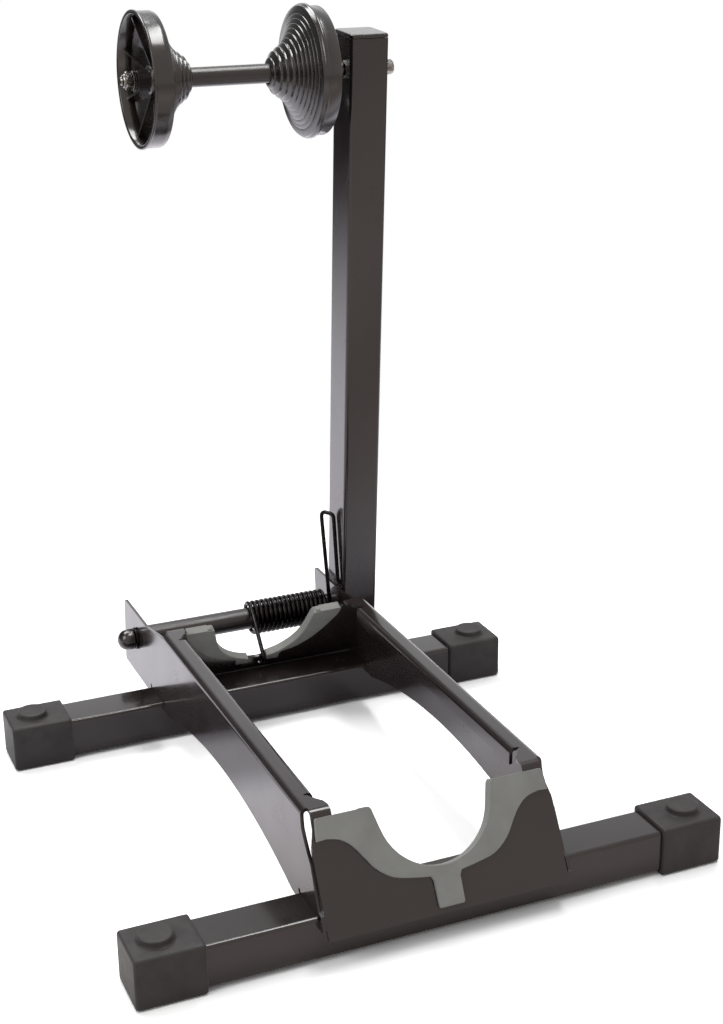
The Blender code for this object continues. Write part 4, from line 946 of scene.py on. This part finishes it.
def white_floor():
    """The sweep: diffuse near the stand, burnt out for the camera further off, with painted light and a painted
    shadow in its mirrored level.
    """
    material = bpy.data.materials.new("white_sweep")
    material.use_nodes = True
    tree = material.node_tree
    tree.nodes.clear()
    path = add_node(tree, "ShaderNodeLightPath")
    place = add_node(tree, "ShaderNodeNewGeometry").outputs["Position"]
    reach = add_node(tree, "ShaderNodeVectorMath", {"operation": "LENGTH"}, links={0: place}).outputs["Value"]
    y = add_node(tree, "ShaderNodeSeparateXYZ", links={0: place}).outputs[1]
    # Painted light in a mirror: a painted level, dim in front of the stand, bright behind it and dark far away
    behind = add_node(tree, "ShaderNodeMapRange", SMOOTH, {1: -0.30, 2: 0.05, 3: 0.0, 4: 1.0}, {0: y})
    far = add_node(tree, "ShaderNodeMapRange", SMOOTH, {1: 0.7, 2: 2.8, 3: 1.10, 4: 0.04}, {0: reach})
    in_front = add_node(tree, "ShaderNodeMapRange", SMOOTH, {1: -0.8, 2: -0.35, 3: 0.95, 4: 0.62}, {0: y})
    painted_mirror_level = add_node(tree, "ShaderNodeMix", NUMBER,
                        links={0: behind.outputs[0], 2: in_front.outputs[0], 3: far.outputs[0]})
    # A painted shadow: a dark strip, seen in a mirror, where the rear crossbar keeps the light off
    before = add_node(tree, "ShaderNodeMapRange", SMOOTH, {1: 0.0, 2: 0.05, 3: 1.0, 4: 0.5}, {0: y})
    beyond_bar = add_node(tree, "ShaderNodeMapRange", SMOOTH, {1: 0.12, 2: 0.17, 3: 0.0, 4: 1.0}, {0: y})
    strip = add_node(tree, "ShaderNodeMath", {"operation": "MAXIMUM"},
                     links={0: before.outputs[0], 1: beyond_bar.outputs[0]})
    painted_level_with_shadow = add_node(tree, "ShaderNodeMath", {"operation": "MULTIPLY"},
                      links={0: painted_mirror_level.outputs[0], 1: strip.outputs[0]})
    # The level that each kind of ray meets
    in_mirror = mirror_or_glass(tree, path)
    lit = add_node(tree, "ShaderNodeMix", NUMBER, {2: FLOOR_LIT}, {0: in_mirror, 3: painted_level_with_shadow.outputs[0]})
    seen = add_node(tree, "ShaderNodeMix", NUMBER, {3: FLOOR_SEEN},
                    {0: path.outputs["Is Camera Ray"], 2: lit.outputs[0]})
    # A painted tint in a mirror: its front warm like the room's light and the sweep behind faintly blue
    painted_mirror_tint = two_tone(tree, behind.outputs[0], "#fff0e9", "#fbf8ff")
    tint = add_node(tree, "ShaderNodeMix", {"data_type": "RGBA"}, {6: linear("#ffffff")}, {0: in_mirror, 7: painted_mirror_tint})
    shade_of_white = add_node(tree, "ShaderNodeVectorMath", {"operation": "SCALE"},
                              links={0: tint.outputs[2], "Scale": seen.outputs[0]})
    paint = add_node(tree, "ShaderNodeBsdfDiffuse", links={"Color": shade_of_white.outputs[0]})
    # Near the stand the camera sees its shadow, and further off it is burnt out
    burnt = add_node(tree, "ShaderNodeEmission", values={"Strength": 1.0})
    off = add_node(tree, "ShaderNodeMapRange", SMOOTH, {1: 0.36, 2: 0.75, 3: 0.0, 4: 1.0}, {0: reach})
    away = add_node(tree, "ShaderNodeMath", {"operation": "MULTIPLY"},
                    links={0: off.outputs[0], 1: path.outputs["Is Camera Ray"]})
    mix = add_node(tree, "ShaderNodeMixShader",
                   links={0: away.outputs[0], 1: paint.outputs[0], 2: burnt.outputs[0]})
    add_node(tree, "ShaderNodeOutputMaterial", links={0: mix.outputs[0]})
    return material


# %% Floor
FLOOR_HALF = 6.0
FLOOR_Z = -0.0002
floor_data = bpy.data.meshes.new("floor")
floor_data.from_pydata([(-FLOOR_HALF, -FLOOR_HALF, FLOOR_Z), (FLOOR_HALF, -FLOOR_HALF, FLOOR_Z),
                        (FLOOR_HALF, FLOOR_HALF, FLOOR_Z), (-FLOOR_HALF, FLOOR_HALF, FLOOR_Z)], [], [(0, 1, 2, 3)])
floor = bpy.data.objects.new("floor", floor_data)
bpy.context.scene.collection.objects.link(floor)
floor_data.materials.append(white_floor())
print("floor", 2 * FLOOR_HALF, "m wide")

# %% [markdown]
# ## The studio round the stand
# Gloss paint shows the room that it stands in, so the world is a rough plan of that room. The
# camera sees plain white. Diffuse surfaces get an even dim fill. Mirrored, there is a lit wall
# behind on the right, a dark one on the left and a warm dim room in front.

# %% World
FILL = 0.36
LEFT_DARK = 0.12
FRONT_ROOM = 0.60
world = bpy.data.worlds.new("white_studio")
bpy.context.scene.world = world
world.use_nodes = True
tree = world.node_tree
tree.nodes.clear()
path = add_node(tree, "ShaderNodeLightPath")
ray = add_node(tree, "ShaderNodeTexCoord").outputs["Generated"]
way_x, way_y, way_z = add_node(tree, "ShaderNodeSeparateXYZ", links={0: ray}).outputs
wall = add_node(tree, "ShaderNodeMapRange", SMOOTH, {1: 0.38, 2: 0.58, 3: 0.78, 4: 0.52}, {0: way_z})
rightward = add_node(tree, "ShaderNodeMapRange", SMOOTH, {1: -0.30, 2: 0.15}, {0: way_x})
back = add_node(tree, "ShaderNodeMix", NUMBER, {2: LEFT_DARK}, {0: rightward.outputs[0], 3: wall.outputs[0]})
backward = add_node(tree, "ShaderNodeMapRange", SMOOTH, {1: -0.25, 2: 0.25}, {0: way_y})
room = add_node(tree, "ShaderNodeMix", NUMBER, {2: FRONT_ROOM}, {0: backward.outputs[0], 3: back.outputs[0]})
in_mirror = mirror_or_glass(tree, path)
unseen = add_node(tree, "ShaderNodeMix", NUMBER, {2: FILL}, {0: in_mirror, 3: room.outputs[0]})
strength = add_node(tree, "ShaderNodeMix", NUMBER, {3: 1.0},
                    {0: path.outputs["Is Camera Ray"], 2: unseen.outputs[0]})
forward = add_node(tree, "ShaderNodeMath", {"operation": "SUBTRACT", "use_clamp": True},
                   links={0: in_mirror, 1: backward.outputs[0]})
colour = two_tone(tree, forward.outputs[0], "#ffffff", "#fff4eb")
background = add_node(tree, "ShaderNodeBackground", links={0: colour, 1: strength.outputs[0]})
add_node(tree, "ShaderNodeOutputWorld", links={0: background.outputs[0]})
print("world nodes:", len(tree.nodes))

# %% [markdown]
# ## Three softboxes
# A strip overhead draws the thin light lines along every upper edge. A large box behind pushes
# the shadows forward, and a weaker one on the left opens the caps' ends and the left web.

# %% Lamps
def softbox(name, place, aim, width, height, watts):
    """A rectangular lamp that points at a spot, both in the stand's millimetres."""
    data = bpy.data.lights.new(name, "AREA")
    data.shape = "RECTANGLE"
    data.size, data.size_y = width, height
    data.energy = watts
    lamp = bpy.data.objects.new(name, data)
    bpy.context.scene.collection.objects.link(lamp)
    lamp.location = stand(*place)
    lamp.rotation_euler = (stand(*aim) - lamp.location).to_track_quat("-Z", "Y").to_euler()


softbox("top_strip", (600, 150, 2300), (0, 300, 300), 1.3, 0.35, 14.0)
softbox("back_softbox", (-250, 1150, 1900), (0, 150, 50), 1.3, 0.8, 20.0)
softbox("left_softbox", (-1500, -300, 1300), (0, 150, 150), 1.0, 1.0, 9.0)
print("lamps:", list(bpy.data.lights.keys()))
